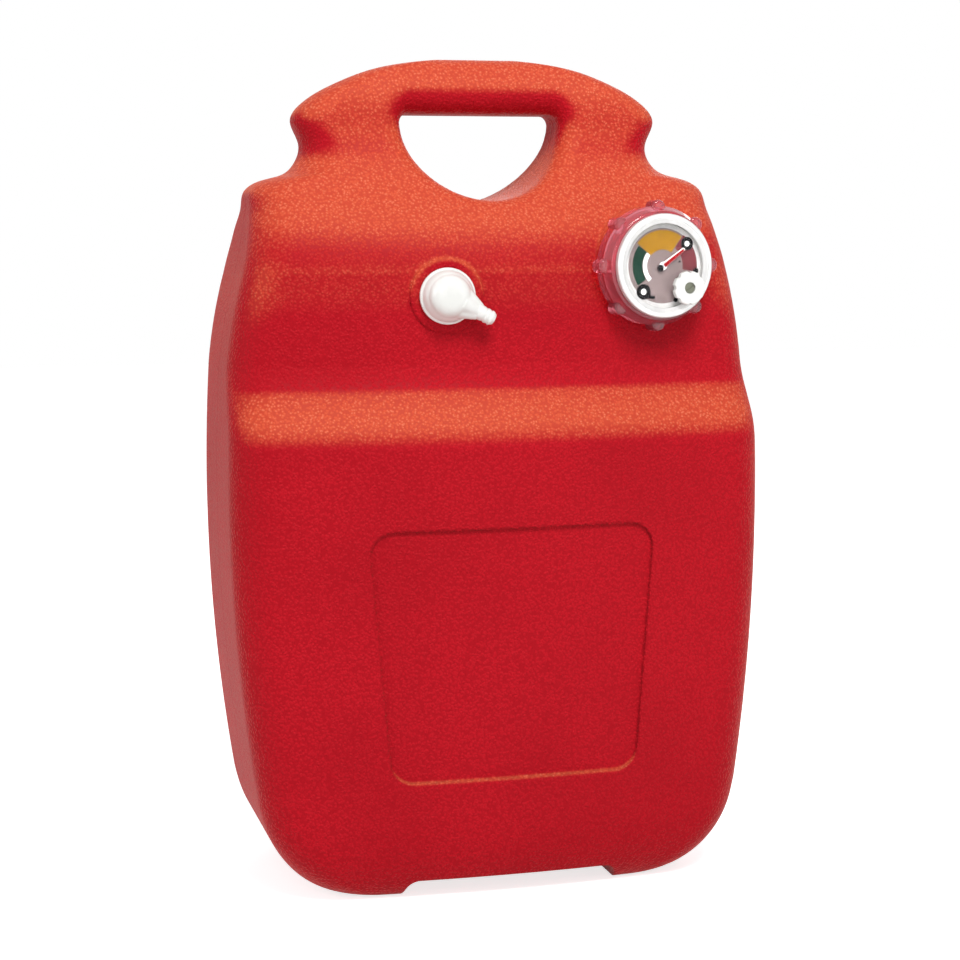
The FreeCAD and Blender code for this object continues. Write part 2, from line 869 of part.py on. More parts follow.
def make_hollow():
    """The space inside the tank and its handle, one wall inside the outer form."""
    wall = number("tank_wall")
    inner = form("inner_form", tank_loft(number("foot_height") + wall, CROWN_HEIGHT - wall, wall, True))
    return cut_away("hollow_form", inner,
                    form("handle_core", grip_prism(number("grip_edge_radius") + wall)))


def make_foot_channel():
    """The wide channel under the tank that leaves a foot at each side."""
    half = number("foot_gap_half_width")
    flare = number("foot_gap_flare")
    height = number("foot_height")
    depth = number("front_depth") + number("back_depth")
    face = rounded_polygon([(-half - flare, -height), (half + flare, -height),
                            (half - flare, height), (-half + flare, height)],
                           number("foot_gap_radius"))
    face.translate(Vector(0, -depth, 0))
    return form("foot_channel", face.extrude(Vector(0, 2 * depth, 0)))


def make_panel_recess():
    """The shallow panel in the front, which follows the front's crown."""
    bottom = number("panel_bottom")
    top = bottom + number("panel_rise")
    depth = number("front_depth") + number("back_depth")
    margin = number("panel_corner_radius")
    face = rounded_polygon([(-number("panel_bottom_half_width"), bottom),
                            (number("panel_bottom_half_width"), bottom),
                            (number("panel_top_half_width"), top),
                            (-number("panel_top_half_width"), top)], margin)
    face.translate(Vector(0, -depth, 0))
    prism = form("panel_prism", face.extrude(Vector(0, depth, 0)))
    behind = form("panel_bed", tank_loft(bottom - margin, top + margin, number("panel_depth")))
    return cut_away("panel_recess", prism, behind)


def make_skin():
    """The tank's outer form with its feet, its panel and its rounded grip opening."""
    standing = cut_away("standing_form", form("outer_form", tank_loft(0.0, CROWN_HEIGHT)),
                        make_foot_channel())
    panelled = cut_away("panelled_form", standing, make_panel_recess())
    pierced = cut_away("pierced_form", panelled, form("grip_tool", grip_prism()))
    return fillet_object("handle_form", pierced, S.grip_edge_radius, is_grip_rim)


def make_tank_shell():
    """The blow-moulded tank: one thin wall, also through the handle, with its seats."""
    neck_pad = cylinder("neck_pad", CAP_FRAME, S.neck_pad_radius, -S.neck_pad_depth, S.neck_pad_depth)
    pickup_pad = cylinder("pickup_pad", PICKUP_FRAME, S.pickup_pad_radius, -S.tank_wall,
                          S.tank_wall + S.pickup_pad_rise)
    seat_height = moved(PICKUP_FRAME, out=S.pickup_pad_rise).Base
    pickup_rim = fillet_object(
        "pickup_rim", pickup_pad, S.pickup_pad_round,
        lambda edge: edge.isClosed() and edge.Curve.Center.distanceToPoint(seat_height) < 0.01)
    solid = join("padded_form", [make_skin(), neck_pad, pickup_rim])
    hollowed = cut_away("hollow_tank", solid, make_hollow())
    neck = cylinder("neck", CAP_FRAME, S.neck_radius, -S.tank_wall, S.neck_rise + S.tank_wall)
    pickup_boss = cylinder("pickup_boss", PICKUP_FRAME, S.pickup_boss_radius,
                           -S.pickup_boss_depth, S.pickup_boss_depth - S.tank_wall / 2)
    necked = join("necked_tank", [hollowed, neck, pickup_boss])
    neck_bore = cylinder("neck_bore", CAP_FRAME, S.neck_bore_radius, -S.neck_pad_depth,
                         S.neck_pad_depth + S.neck_rise)
    shank_bore = cylinder("shank_bore", PICKUP_FRAME, S.base_shank_radius, -S.pickup_boss_depth,
                          S.pickup_boss_depth + S.pickup_pad_rise)
    return cut_away("tank_shell", necked, join("bores", [neck_bore, shank_bore]))


# ---------------------------------------------------------------- cap heights
# Heights over the neck's seat, from the gasket outwards and from the housing inwards.

gasket_bottom = S.neck_rise
housing_bottom = gasket_bottom + S.gasket_thickness
flange_top = housing_bottom + S.flange_thickness
floor_top = housing_bottom + S.floor_thickness
membrane_bottom = floor_top - S.magnet_wall
cup_top = housing_bottom + S.cup_rise
dial_bottom = floor_top + S.dial_ledge_rise
dial_top = dial_bottom + S.dial_thickness
needle_bottom = dial_top + S.needle_gap
lens_top = cup_top + S.lens_thickness
bezel_top = lens_top + S.bezel_lip
knob_bottom = bezel_top + S.moving_gap
knob_top = knob_bottom + S.vent_knob_thickness
vent_boss_top = knob_bottom - S.vent_seal_thickness
nut_lip_bottom = flange_top + S.moving_gap / 3
nut_top = nut_lip_bottom + S.nut_lip_thickness
boss_bottom = housing_bottom - S.stem_boss_depth
plate_bottom = boss_bottom - S.cage_plate_thickness
foot_top = plate_bottom - S.float_length - S.float_travel - S.float_end_gap * 2
foot_bottom = foot_top - S.cage_foot_thickness
float_bottom = foot_top + S.float_end_gap + S.float_below_rest
float_top = float_bottom + S.float_length
driver_middle = float_top - S.driver_thickness / 2
drive_magnet_bottom = membrane_bottom - S.moving_gap - S.magnet_thickness
follower_magnet_bottom = floor_top + S.moving_gap
follower_magnet_top = follower_magnet_bottom + S.magnet_thickness


def placed(body, frame):
    """Give a finished body its place in the tank's frame."""
    body.Placement = frame
    return body


# ---------------------------------------------------------------- cap bodies

def make_neck_gasket():
    """The flat ring between the neck and the gauge housing."""
    body = new_body("neck_gasket")
    inner = S.neck_radius - S.gasket_width
    turn(body, "gasket_ring", [(inner, gasket_bottom), (S.neck_radius, gasket_bottom),
                               (S.neck_radius, housing_bottom), (inner, housing_bottom)])
    return placed(body, CAP_FRAME)


def make_gauge_housing():
    """The cap's body: flange, cup, spigot, magnet chamber and vent boss."""
    body = new_body("gauge_housing")
    spigot_outer = S.neck_bore_radius - S.moving_gap
    spigot_inner = spigot_outer - S.spigot_wall
    ledge_inner = S.cup_bore_radius - S.dial_ledge_width
    turn(body, "housing_form", [
        (0.0, membrane_bottom), (S.stem_boss_bore_radius, membrane_bottom),
        (S.stem_boss_bore_radius, boss_bottom), (S.stem_boss_radius, boss_bottom),
        (S.stem_boss_radius, housing_bottom), (spigot_inner, housing_bottom),
        (spigot_inner, housing_bottom - S.spigot_depth),
        (spigot_outer, housing_bottom - S.spigot_depth), (spigot_outer, housing_bottom),
        (S.flange_radius, housing_bottom), (S.flange_radius, flange_top),
        (S.cup_radius, flange_top), (S.cup_radius, cup_top), (S.cup_bore_radius, cup_top),
        (S.cup_bore_radius, dial_bottom), (ledge_inner, dial_bottom),
        (ledge_inner, floor_top), (0.0, floor_top)])
    raise_circle(body, "vent_boss", "PartDesign::Pad", S.vent_boss_radius, housing_bottom,
                 vent_boss_top - housing_bottom, S.vent_side, -S.vent_drop)
    drill(body, "vent_bore", S.vent_stem_radius + S.running_fit, vent_boss_top,
          vent_boss_top - housing_bottom, S.vent_side, -S.vent_drop)
    drill(body, "pivot_seat", S.pivot_radius + S.running_fit, floor_top, S.pivot_seat_depth)
    return placed(body, CAP_FRAME)


def make_ring_nut():
    """The large nut with eight lugs that pulls the gauge housing onto the neck."""
    body = new_body("ring_nut")
    foot = S.nut_foot_gap
    turn(body, "nut_form", [(0.0, foot), (S.nut_base_radius, foot),
                            (S.nut_base_radius, foot + S.nut_skirt_rise),
                            (S.nut_top_radius, nut_top), (0.0, nut_top)])
    lug_bottom = foot + S.lug_foot_rise
    lug = raise_circle(body, "lug", "PartDesign::Pad", S.lug_radius, lug_bottom,
                       S.lug_rise, S.lug_circle_radius)
    repeat_round(body, "lugs", [lug], S.lug_count)
    lug_top = float(lug_bottom + S.lug_rise)
    round_edges(body, "lug_tops", S.lug_round,
                lambda edge: abs(edge.CenterOfMass.z - lug_top) < 0.05
                and abs(getattr(edge.Curve, "Radius", 0.0) - number("lug_radius")) < 0.05)
    round_edges(body, "nut_edge", S.nut_round, ring_edge(S.nut_top_radius, nut_top))
    drill(body, "thread_bore", S.neck_radius + S.nut_thread_fit, nut_lip_bottom,
          nut_lip_bottom - foot)
    drill(body, "lip_bore", S.cup_radius + S.moving_gap, nut_top, S.nut_lip_thickness)
    return placed(body, CAP_FRAME)


def make_gauge_bezel():
    """The white ring that holds the lens in the cup."""
    body = new_body("gauge_bezel")
    skirt_bottom = nut_top + S.moving_gap
    skirt_inner = S.cup_radius + S.moving_gap / 3
    turn(body, "bezel_ring", [
        (skirt_inner, skirt_bottom), (S.bezel_radius, skirt_bottom), (S.bezel_radius, bezel_top),
        (S.bezel_bore_radius, bezel_top), (S.bezel_bore_radius, lens_top), (skirt_inner, lens_top)])
    outer = ring_edge(S.bezel_radius, bezel_top)
    inner = ring_edge(S.bezel_bore_radius, bezel_top)
    round_edges(body, "bezel_edges", S.bezel_round, lambda edge: outer(edge) or inner(edge))
    return placed(body, CAP_FRAME)


def make_disc(name, radius, bottom, thickness, hole_radius=None):
    """A flat disc of the gauge with the vent's hole and, if asked, a centre hole."""
    body = new_body(name)
    raise_circle(body, name + "_plate", "PartDesign::Pad", radius, bottom, thickness)
    drill(body, name + "_vent_hole", S.vent_hole_radius, bottom + thickness, thickness,
          S.vent_side, -S.vent_drop)
    if hole_radius is not None:
        drill(body, name + "_centre_hole", hole_radius, bottom + thickness, thickness)
    return placed(body, CAP_FRAME)


def make_gauge_needle():
    """The pointer, drawn along Y and turned to its rest direction."""
    body = new_body("gauge_needle")
    sketch = new_sketch(body, "pointer_outline", "XY_Plane", needle_bottom)
    half = S.needle_width / 2
    tip = S.needle_tip_width / 2
    draw_outline(sketch, [(-half, -S.needle_tail), (half, -S.needle_tail),
                          (tip, S.needle_length), (-tip, S.needle_length)])
    pointer = body.newObject("PartDesign::Pad", "pointer")
    pointer.Profile = sketch
    bind(pointer, "Length", S.needle_thickness)
    raise_circle(body, "needle_hub", "PartDesign::Pad", S.needle_hub_radius, needle_bottom,
                 S.needle_thickness)
    drill(body, "needle_bore", S.pivot_radius, needle_bottom + S.needle_thickness,
          S.needle_thickness)
    return placed(body, moved(CAP_FRAME, turn_angle=-number("needle_rest_angle")))


def make_needle_spindle():
    """The fine shaft that carries the needle and the follower magnet."""
    body = new_body("needle_spindle")
    bottom = floor_top - S.pivot_seat_depth + S.running_fit
    turn(body, "spindle_form", [
        (0.0, bottom), (S.pivot_radius, bottom), (S.pivot_radius, follower_magnet_top),
        (S.spindle_radius, follower_magnet_top), (S.spindle_radius, needle_bottom),
        (S.pivot_radius, needle_bottom), (S.pivot_radius, needle_bottom + S.needle_thickness),
        (0.0, needle_bottom + S.needle_thickness)])
    return placed(body, CAP_FRAME)


def make_follower_magnet():
    """The ring magnet under the dial, on the needle's spindle."""
    body = new_body("follower_magnet")
    turn(body, "magnet_ring", [
        (S.pivot_radius, follower_magnet_bottom), (S.magnet_radius, follower_magnet_bottom),
        (S.magnet_radius, follower_magnet_top), (S.pivot_radius, follower_magnet_top)])
    return placed(body, CAP_FRAME)


def make_drive_magnet():
    """The disc magnet on the top of the twisted strip."""
    body = new_body("drive_magnet")
    raise_circle(body, "magnet_disc", "PartDesign::Pad", S.magnet_radius, drive_magnet_bottom,
                 S.magnet_thickness)
    return placed(body, CAP_FRAME)


def make_vent_knob():
    """The white screw knob of the air vent, with its stem."""
    body = new_body("vent_knob")
    stem_bottom = knob_bottom - S.vent_stem_length
    dish_bottom = knob_top - S.vent_dish_depth
    turn(body, "knob_form", [
        (0.0, stem_bottom), (S.vent_stem_radius, stem_bottom), (S.vent_stem_radius, knob_bottom),
        (S.vent_knob_radius, knob_bottom), (S.vent_knob_radius, knob_top),
        (S.vent_dish_radius, knob_top), (S.vent_dish_radius, dish_bottom), (0.0, dish_bottom)])
    round_edges(body, "knob_edge", S.vent_knob_round, ring_edge(S.vent_knob_radius, knob_top))
    flute = drill(body, "flute", S.vent_flute_radius, knob_top, S.vent_knob_thickness,
                  S.vent_flute_circle_radius)
    repeat_round(body, "flutes", [flute], S.vent_flute_count)
    return placed(body, moved(CAP_FRAME, S.vent_side, -S.vent_drop))


def make_vent_seal():
    """The soft ring under the vent knob."""
    body = new_body("vent_seal")
    turn(body, "seal_ring", [
        (S.vent_stem_radius, vent_boss_top + S.vent_seal_gap),
        (S.vent_seal_radius, vent_boss_top + S.vent_seal_gap),
        (S.vent_seal_radius, knob_bottom), (S.vent_stem_radius, knob_bottom)])
    return placed(body, moved(CAP_FRAME, S.vent_side, -S.vent_drop))


# ---------------------------------------------------------------- float gauge bodies

def make_cage_end(name, radius, bottom, thickness):
    """A round end plate of the float's cage, with its rod holes and pivot hole."""
    body = new_body(name)
    raise_circle(body, name + "_disc", "PartDesign::Pad", radius, bottom, thickness)
    round_edges(body, name + "_round", S.cage_round, ring_edge(radius, bottom))
    top = bottom + thickness
    drill(body, name + "_pivot", S.strip_pivot_radius + S.running_fit, top, thickness)
    rod_hole = drill(body, name + "_rod_hole", S.rod_radius, top, thickness, S.rod_circle_radius)
    repeat_round(body, name + "_rod_holes", [rod_hole], 2)
    return placed(body, CAP_FRAME)


def make_guide_rod(name, side):
    """One of the two rods that the float slides on."""
    body = new_body(name)
    raise_circle(body, name + "_bar", "PartDesign::Pad", S.rod_radius, foot_bottom,
                 boss_bottom - foot_bottom, S.rod_circle_radius * side)
    return placed(body, CAP_FRAME)


def make_gauge_float():
    """The float, a thick ring of closed foam that slides on the rods."""
    body = new_body("gauge_float")
    raise_circle(body, "float_block", "PartDesign::Pad", S.float_radius, float_bottom,
                 S.float_length)
    lower = ring_edge(S.float_radius, float_bottom)
    upper = ring_edge(S.float_radius, float_top)
    round_edges(body, "float_edges", S.float_edge, lambda edge: lower(edge) or upper(edge),
                "PartDesign::Chamfer", "Size")
    drill(body, "float_bore", S.float_bore_radius, float_top, S.float_length)
    drill(body, "driver_seat", S.driver_radius, float_top, S.driver_thickness)
    rod_hole = drill(body, "float_rod_hole", S.rod_radius + S.running_fit, float_top,
                     S.float_length, S.rod_circle_radius)
    repeat_round(body, "float_rod_holes", [rod_hole], 2)
    return placed(body, CAP_FRAME)


def make_float_driver():
    """The plate in the float whose slot turns the twisted strip."""
    body = new_body("float_driver")
    bottom = float_top - S.driver_thickness
    raise_circle(body, "driver_plate", "PartDesign::Pad", S.driver_radius, bottom,
                 S.driver_thickness)
    sketch = new_sketch(body, "slot_outline", "XY_Plane", float_top)
    half_length = S.strip_width / 2 + S.driver_slot_gap
    half_width_of_slot = S.strip_thickness / 2 + S.driver_slot_gap
    draw_outline(sketch, [(-half_length, -half_width_of_slot), (half_length, -half_width_of_slot),
                          (half_length, half_width_of_slot), (-half_length, half_width_of_slot)])
    slot = body.newObject("PartDesign::Pocket", "driver_slot")
    slot.Profile = sketch
    bind(slot, "Length", S.driver_thickness)
    return placed(body, CAP_FRAME)


STRIP_SECTION_TURN = 15.0


def make_twisted_strip():
    """The twisted strip with a round pivot at each end."""
    bottom = float(foot_top + S.moving_gap)
    top = float(plate_bottom - S.moving_gap)
    turn_per_mm = number("dial_sweep") / number("float_travel")
    count = max(2, math.ceil((top - bottom) * turn_per_mm / STRIP_SECTION_TURN))
    half_long = number("strip_width") / 2
    half_thick = number("strip_thickness") / 2
    wires = []
    for step in range(count + 1):
        height = bottom + (top - bottom) * step / count
        wire = Part.makePolygon([Vector(-half_long, -half_thick, height),
                                 Vector(half_long, -half_thick, height),
                                 Vector(half_long, half_thick, height),
                                 Vector(-half_long, half_thick, height),
                                 Vector(-half_long, -half_thick, height)])
        wire.rotate(Vector(0, 0, 0), Vector(0, 0, 1),
                    -turn_per_mm * (height - float(driver_middle)))
        wires.append(wire)
    blade = form("strip_blade", Part.makeLoft(wires, True, False))
    blade.Placement = CAP_FRAME
    lower = cylinder("strip_lower_pivot", CAP_FRAME, S.strip_pivot_radius, foot_bottom,
                     S.cage_foot_thickness + S.moving_gap * 2)
    upper = cylinder("strip_upper_pivot", CAP_FRAME, S.strip_pivot_radius,
                     plate_bottom - S.moving_gap * 2,
                     drive_magnet_bottom - plate_bottom + S.moving_gap * 2)
    return join("twisted_strip", [blade, lower, upper])


# ---------------------------------------------------------------- hose fitting bodies

washer_bottom = S.pickup_pad_rise
base_flange_bottom = washer_bottom + S.washer_thickness
base_flange_top = base_flange_bottom + S.base_flange_thickness
base_spigot_top = base_flange_top + S.base_spigot_rise
base_shank_bottom = -S.base_shank_depth
nipple_bottom = base_shank_bottom - S.base_nipple_length
lower_seal_height = base_flange_top + S.seal_groove_rise
upper_seal_height = base_spigot_top - S.seal_groove_rise
tail_height = (lower_seal_height + upper_seal_height) / 2
seal_ring_radius = S.base_spigot_radius + S.running_fit / 2 - S.seal_section_radius
seal_groove_radius = seal_ring_radius - S.seal_section_radius
elbow_bottom = S.pickup_pad_rise + S.moving_gap
elbow_flange_top = elbow_bottom + S.elbow_flange_thickness
elbow_cavity_top = base_flange_top + S.moving_gap
elbow_bore_top = base_spigot_top + S.moving_gap
elbow_crown = elbow_bore_top + S.elbow_crown_thickness


def make_pickup_washer():
    """The flat seal under the flange of the hose fitting's base."""
    body = new_body("pickup_washer")
    turn(body, "washer_ring", [
        (S.base_shank_radius, washer_bottom), (S.base_flange_radius, washer_bottom),
        (S.base_flange_radius, base_flange_bottom), (S.base_shank_radius, base_flange_bottom)])
    return placed(body, PICKUP_FRAME)


def grooved(radius, middle, height, depth_radius):
    """The corners of a groove in a spigot, from the bottom up."""
    return [(radius, middle - height / 2), (depth_radius, middle - height / 2),
            (depth_radius, middle + height / 2), (radius, middle + height / 2)]


def make_pickup_base():
    """The fixed base: shank through the tank wall, nipple inside and grooved spigot."""
    body = new_body("pickup_base")
    spigot = S.base_spigot_radius
    outline = [
        (0.0, base_spigot_top - S.base_cap_thickness),
        (S.base_bore_radius, base_spigot_top - S.base_cap_thickness),
        (S.base_bore_radius, nipple_bottom), (S.base_nipple_radius, nipple_bottom),
        (S.base_nipple_radius, base_shank_bottom), (S.base_shank_radius, base_shank_bottom),
        (S.base_shank_radius, base_flange_bottom), (S.base_flange_radius, base_flange_bottom),
        (S.base_flange_radius, base_flange_top), (spigot, base_flange_top)]
    outline += grooved(spigot, lower_seal_height, S.seal_groove_height, seal_groove_radius)
    outline += grooved(spigot, tail_height, S.flow_groove_height, S.flow_groove_radius)
    outline += grooved(spigot, upper_seal_height, S.seal_groove_height, seal_groove_radius)
    outline += [(spigot, base_spigot_top), (0.0, base_spigot_top)]
    turn(body, "base_form", outline)
    sketch = new_sketch(body, "flow_hole_circle", "YZ_Plane")
    draw_circle(sketch, S.flow_hole_radius, 0.0, tail_height)
    hole = body.newObject("PartDesign::Pocket", "flow_hole")
    hole.Profile = sketch
    bind(hole, "Length", S.base_spigot_radius * 2)
    hole.Midplane = True
    return placed(body, PICKUP_FRAME)


def make_spigot_seal(name, height):
    """A sealing ring in one of the spigot's grooves."""
    body = new_body(name)
    sketch = new_sketch(body, name + "_section", "XZ_Plane")
    draw_circle(sketch, S.seal_section_radius, seal_ring_radius, height)
    ring = body.newObject("PartDesign::Revolution", name + "_ring")
    ring.Profile = sketch
    ring.ReferenceAxis = (sketch, ["V_Axis"])
    ring.Angle = 360.0
    return placed(body, PICKUP_FRAME)


def tail_outline():
    """Half outline of the hose tail along its own axis, from its root to its tip."""
    reach = S.tail_root_reach + S.tail_neck_length
    land = S.tail_land_radius
    points = [(S.tail_root_start, 0.0), (S.tail_root_start, S.tail_root_radius),
              (S.tail_root_reach, S.tail_radius), (reach, S.tail_radius), (reach, land)]
    reach = reach + S.tail_land_length
    for last in (False, False, True):
        points.append((reach, land))
        reach = reach + S.tail_cone_length
        points.append((reach, S.tail_tip_radius if last else S.tail_radius))
        if not last:
            points.append((reach, land))
            reach = reach + S.tail_barb_land_length
    points.append((reach, 0.0))
    return points


def make_pickup_elbow():
    """The swivelling elbow: a dome over the spigot with a barbed hose tail."""
    body = new_body("pickup_elbow")
    turn(body, "elbow_form", [
        (0.0, elbow_bottom), (S.elbow_flange_radius, elbow_bottom),
        (S.elbow_flange_radius, elbow_flange_top), (S.elbow_dome_radius, elbow_flange_top),
        (S.elbow_dome_radius, elbow_crown), (0.0, elbow_crown)])
    round_edges(body, "dome_round", S.elbow_dome_round,
                ring_edge(S.elbow_dome_radius, elbow_crown))
    round_edges(body, "flange_round", S.elbow_flange_round,
                ring_edge(S.elbow_flange_radius, elbow_flange_top))
    sketch = new_sketch(body, "tail_outline", "XY_Plane", tail_height)
    outline = tail_outline()
    draw_outline(sketch, outline)
    tail = body.newObject("PartDesign::Revolution", "tail")
    tail.Profile = sketch
    tail.ReferenceAxis = (sketch, ["H_Axis"])
    tail.Angle = 360.0
    drill(body, "flange_cavity", S.base_flange_radius + S.elbow_cavity_gap, elbow_cavity_top,
          elbow_cavity_top - elbow_bottom)
    drill(body, "spigot_bore", S.base_spigot_radius + S.running_fit, elbow_bore_top,
          elbow_bore_top - elbow_bottom)
    bore_sketch = new_sketch(body, "tail_bore_circle", "YZ_Plane")
    draw_circle(bore_sketch, S.tail_bore_radius, 0.0, tail_height)
    bore = body.newObject("PartDesign::Pocket", "tail_bore")
    bore.Profile = bore_sketch
    bind(bore, "Length", outline[-1][0])
    bore.Reversed = True
    return placed(body, moved(PICKUP_FRAME, turn_angle=number("tail_angle")))


def tube_path():
    """Points of the dip tube's path as (up, out): start, bend start, bend end and foot."""
    lean = math.radians(number("tube_lean"))
    bend = number("tube_bend_radius")
    start = float(base_shank_bottom)
    bend_start = float(nipple_bottom) - number("tube_lead")
    bend_end = (-bend * (1 - math.sin(lean)), bend_start - bend * math.cos(lean))
    foot_height = number("foot_height") + number("tank_wall") + number("tube_floor_gap")
    drop = number("pickup_height") + bend_end[0] - foot_height
    foot = (bend_end[0] - drop, bend_end[1] - drop * math.tan(lean))
    turn_middle = (math.pi / 2 - lean) / 2
    bend_middle = (-bend * (1 - math.cos(turn_middle)), bend_start - bend * math.sin(turn_middle))
    return (0.0, start), (0.0, bend_start), bend_middle, bend_end, foot


def make_dip_tube():
    """The rigid tube from the base to the lowest corner at the tank's back."""
    start, bend_start, bend_middle, bend_end, foot = [Vector(0, up, out) for up, out in tube_path()]
    spine = Part.Wire([Part.LineSegment(start, bend_start).toShape(),
                       Part.Arc(bend_start, bend_middle, bend_end).toShape(),
                       Part.LineSegment(bend_end, foot).toShape()])

    def swept(radius):
        ring = Part.Wire([Part.Circle(start, Vector(0, 0, -1), radius).toShape()])
        return spine.makePipeShell([ring], True, False)

    outside = form("tube_outside", swept(number("tube_radius")))
    inside = form("tube_inside", swept(number("base_nipple_radius")))
    outside.Placement = PICKUP_FRAME
    inside.Placement = PICKUP_FRAME
    return cut_away("dip_tube", outside, inside)


def make_strainer():
    """The slotted strainer pushed over the dip tube's lower end."""
    body = new_body("strainer")
    bottom = -S.strainer_drop
    inner = S.strainer_radius - S.strainer_wall
    turn(body, "strainer_cup", [
        (0.0, bottom), (S.strainer_radius, bottom), (S.strainer_radius, S.strainer_collar),
        (S.tube_radius, S.strainer_collar), (S.tube_radius, 0.0), (inner, 0.0),
        (inner, bottom + S.strainer_wall), (0.0, bottom + S.strainer_wall)])
    sketch = new_sketch(body, "slot_outline", "YZ_Plane")
    half = S.strainer_slot_width / 2
    slot_bottom = bottom + S.strainer_wall * 2
    slot_top = slot_bottom + S.strainer_slot_length
    draw_outline(sketch, [(-half, slot_bottom), (half, slot_bottom), (half, slot_top),
                          (-half, slot_top)])
    slot = body.newObject("PartDesign::Pocket", "slot")
    slot.Profile = sketch
    bind(slot, "Length", S.strainer_radius + S.strainer_wall)
    repeat_round(body, "slots", [slot], S.strainer_slot_count)
    foot = tube_path()[-1]
    tilt = FreeCAD.Placement(Vector(0, foot[0], foot[1]),
                             FreeCAD.Rotation(Vector(1, 0, 0), number("tube_lean") - 90.0))
    return placed(body, PICKUP_FRAME.multiply(tilt))


# ---------------------------------------------------------------- build and write

NODES = [
    make_tank_shell(),
    make_neck_gasket(),
    make_gauge_housing(),
    make_ring_nut(),
    make_gauge_bezel(),
    make_disc("gauge_lens", S.lens_radius, cup_top, S.lens_thickness),
    make_disc("dial_face", S.dial_radius, dial_bottom, S.dial_thickness, S.dial_bore_radius),
    make_gauge_needle(),
    make_needle_spindle(),
    make_follower_magnet(),
    make_drive_magnet(),
    make_vent_knob(),
    make_vent_seal(),
    make_cage_end("cage_plate", S.stem_boss_radius, plate_bottom, S.cage_plate_thickness),
    make_cage_end("cage_foot", S.cage_foot_radius, foot_bottom, S.cage_foot_thickness),
    make_guide_rod("guide_rod_right", 1.0),
    make_guide_rod("guide_rod_left", -1.0),
    make_gauge_float(),
    make_float_driver(),
    make_twisted_strip(),
    make_pickup_washer(),
    make_pickup_base(),
    make_spigot_seal("lower_spigot_seal", lower_seal_height),
    make_spigot_seal("upper_spigot_seal", upper_seal_height),
    make_pickup_elbow(),
    make_dip_tube(),
    make_strainer(),
]
document.recompute()

for item in document.Objects:
    if "Invalid" in item.State or "Error" in item.State:
        raise RuntimeError("%s can't be computed" % item.Label)

os.makedirs("parts", exist_ok=True)
for node in NODES:
    shape = node.Shape
    if shape.isNull() or not shape.isValid() or len(shape.Solids) != 1:
        raise RuntimeError("%s isn't one valid solid" % node.Label)
    shape.exportStep("parts/%s.step" % node.Label)
    box = shape.BoundBox
    print("%-18s %9.0f mm3  x %.1f..%.1f  y %.1f..%.1f  z %.1f..%.1f" % (
        node.Label, shape.Volume, box.XMin, box.XMax, box.YMin, box.YMax, box.ZMin, box.ZMax))
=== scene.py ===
"""Dresses the outboard fuel tank.

The blow-moulded tank keeps its solid and gets its pebbled red plastic. The gauge cap gets a
stepped bezel, printed bands and marks on its dial, a striped pointer and a slotted vent
screw. The hose fitting gets a softly moulded elbow. Places in the scene and grain sizes are
in metres, and the sizes of the sub-assemblies' pieces are in millimetres.
"""

import json
import logging
import math
from dataclasses import dataclass, field
from enum import Enum

import bpy
from mathutils import Matrix, Vector

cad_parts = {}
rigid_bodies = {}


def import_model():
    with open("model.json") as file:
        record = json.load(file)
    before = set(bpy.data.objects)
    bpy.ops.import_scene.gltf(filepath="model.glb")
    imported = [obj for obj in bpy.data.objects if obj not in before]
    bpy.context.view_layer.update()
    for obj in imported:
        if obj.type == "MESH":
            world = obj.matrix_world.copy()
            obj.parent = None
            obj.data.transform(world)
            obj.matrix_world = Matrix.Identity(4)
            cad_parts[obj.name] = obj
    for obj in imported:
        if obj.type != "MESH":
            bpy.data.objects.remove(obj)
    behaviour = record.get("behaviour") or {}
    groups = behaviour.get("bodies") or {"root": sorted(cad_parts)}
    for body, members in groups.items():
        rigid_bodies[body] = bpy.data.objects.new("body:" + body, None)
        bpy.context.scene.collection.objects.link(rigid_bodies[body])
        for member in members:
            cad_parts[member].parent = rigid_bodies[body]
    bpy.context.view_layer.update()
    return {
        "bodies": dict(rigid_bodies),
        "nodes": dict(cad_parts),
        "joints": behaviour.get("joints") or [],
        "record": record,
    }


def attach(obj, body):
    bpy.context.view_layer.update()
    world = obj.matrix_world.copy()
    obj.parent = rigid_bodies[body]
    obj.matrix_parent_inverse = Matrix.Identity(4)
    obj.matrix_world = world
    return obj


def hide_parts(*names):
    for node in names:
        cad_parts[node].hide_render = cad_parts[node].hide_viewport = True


LOG = logging.getLogger("fuel_tank")
MM = 0.001
SMOOTH_ANGLE = 35.0
Profile = list[tuple[float, float]]
Colour = tuple[float, float, float, float]
Value = bpy.types.NodeSocket | float | tuple


class Body(str, Enum):
    """The bodies that new pieces ride on."""

    GAUGE = "gauge"
    VENT = "vent"
    NEEDLE = "needle"
    ELBOW = "elbow"


class Slot(str, Enum):
    """The record's material slots."""

    TANK = "tank_plastic"
    NUT = "nut_plastic"
    WHITE = "white_plastic"
    HOUSING = "housing_plastic"
    LENS = "lens_clear"
    DIAL = "dial_print"
    NEEDLE = "needle_red"
    STEEL = "steel"
    STRIP = "strip_metal"
    MAGNET = "magnet"
    RUBBER = "seal_rubber"
    FOAM = "float_foam"
    TUBE = "tube_plastic"


# ------------------------------------------------------------------ node trees


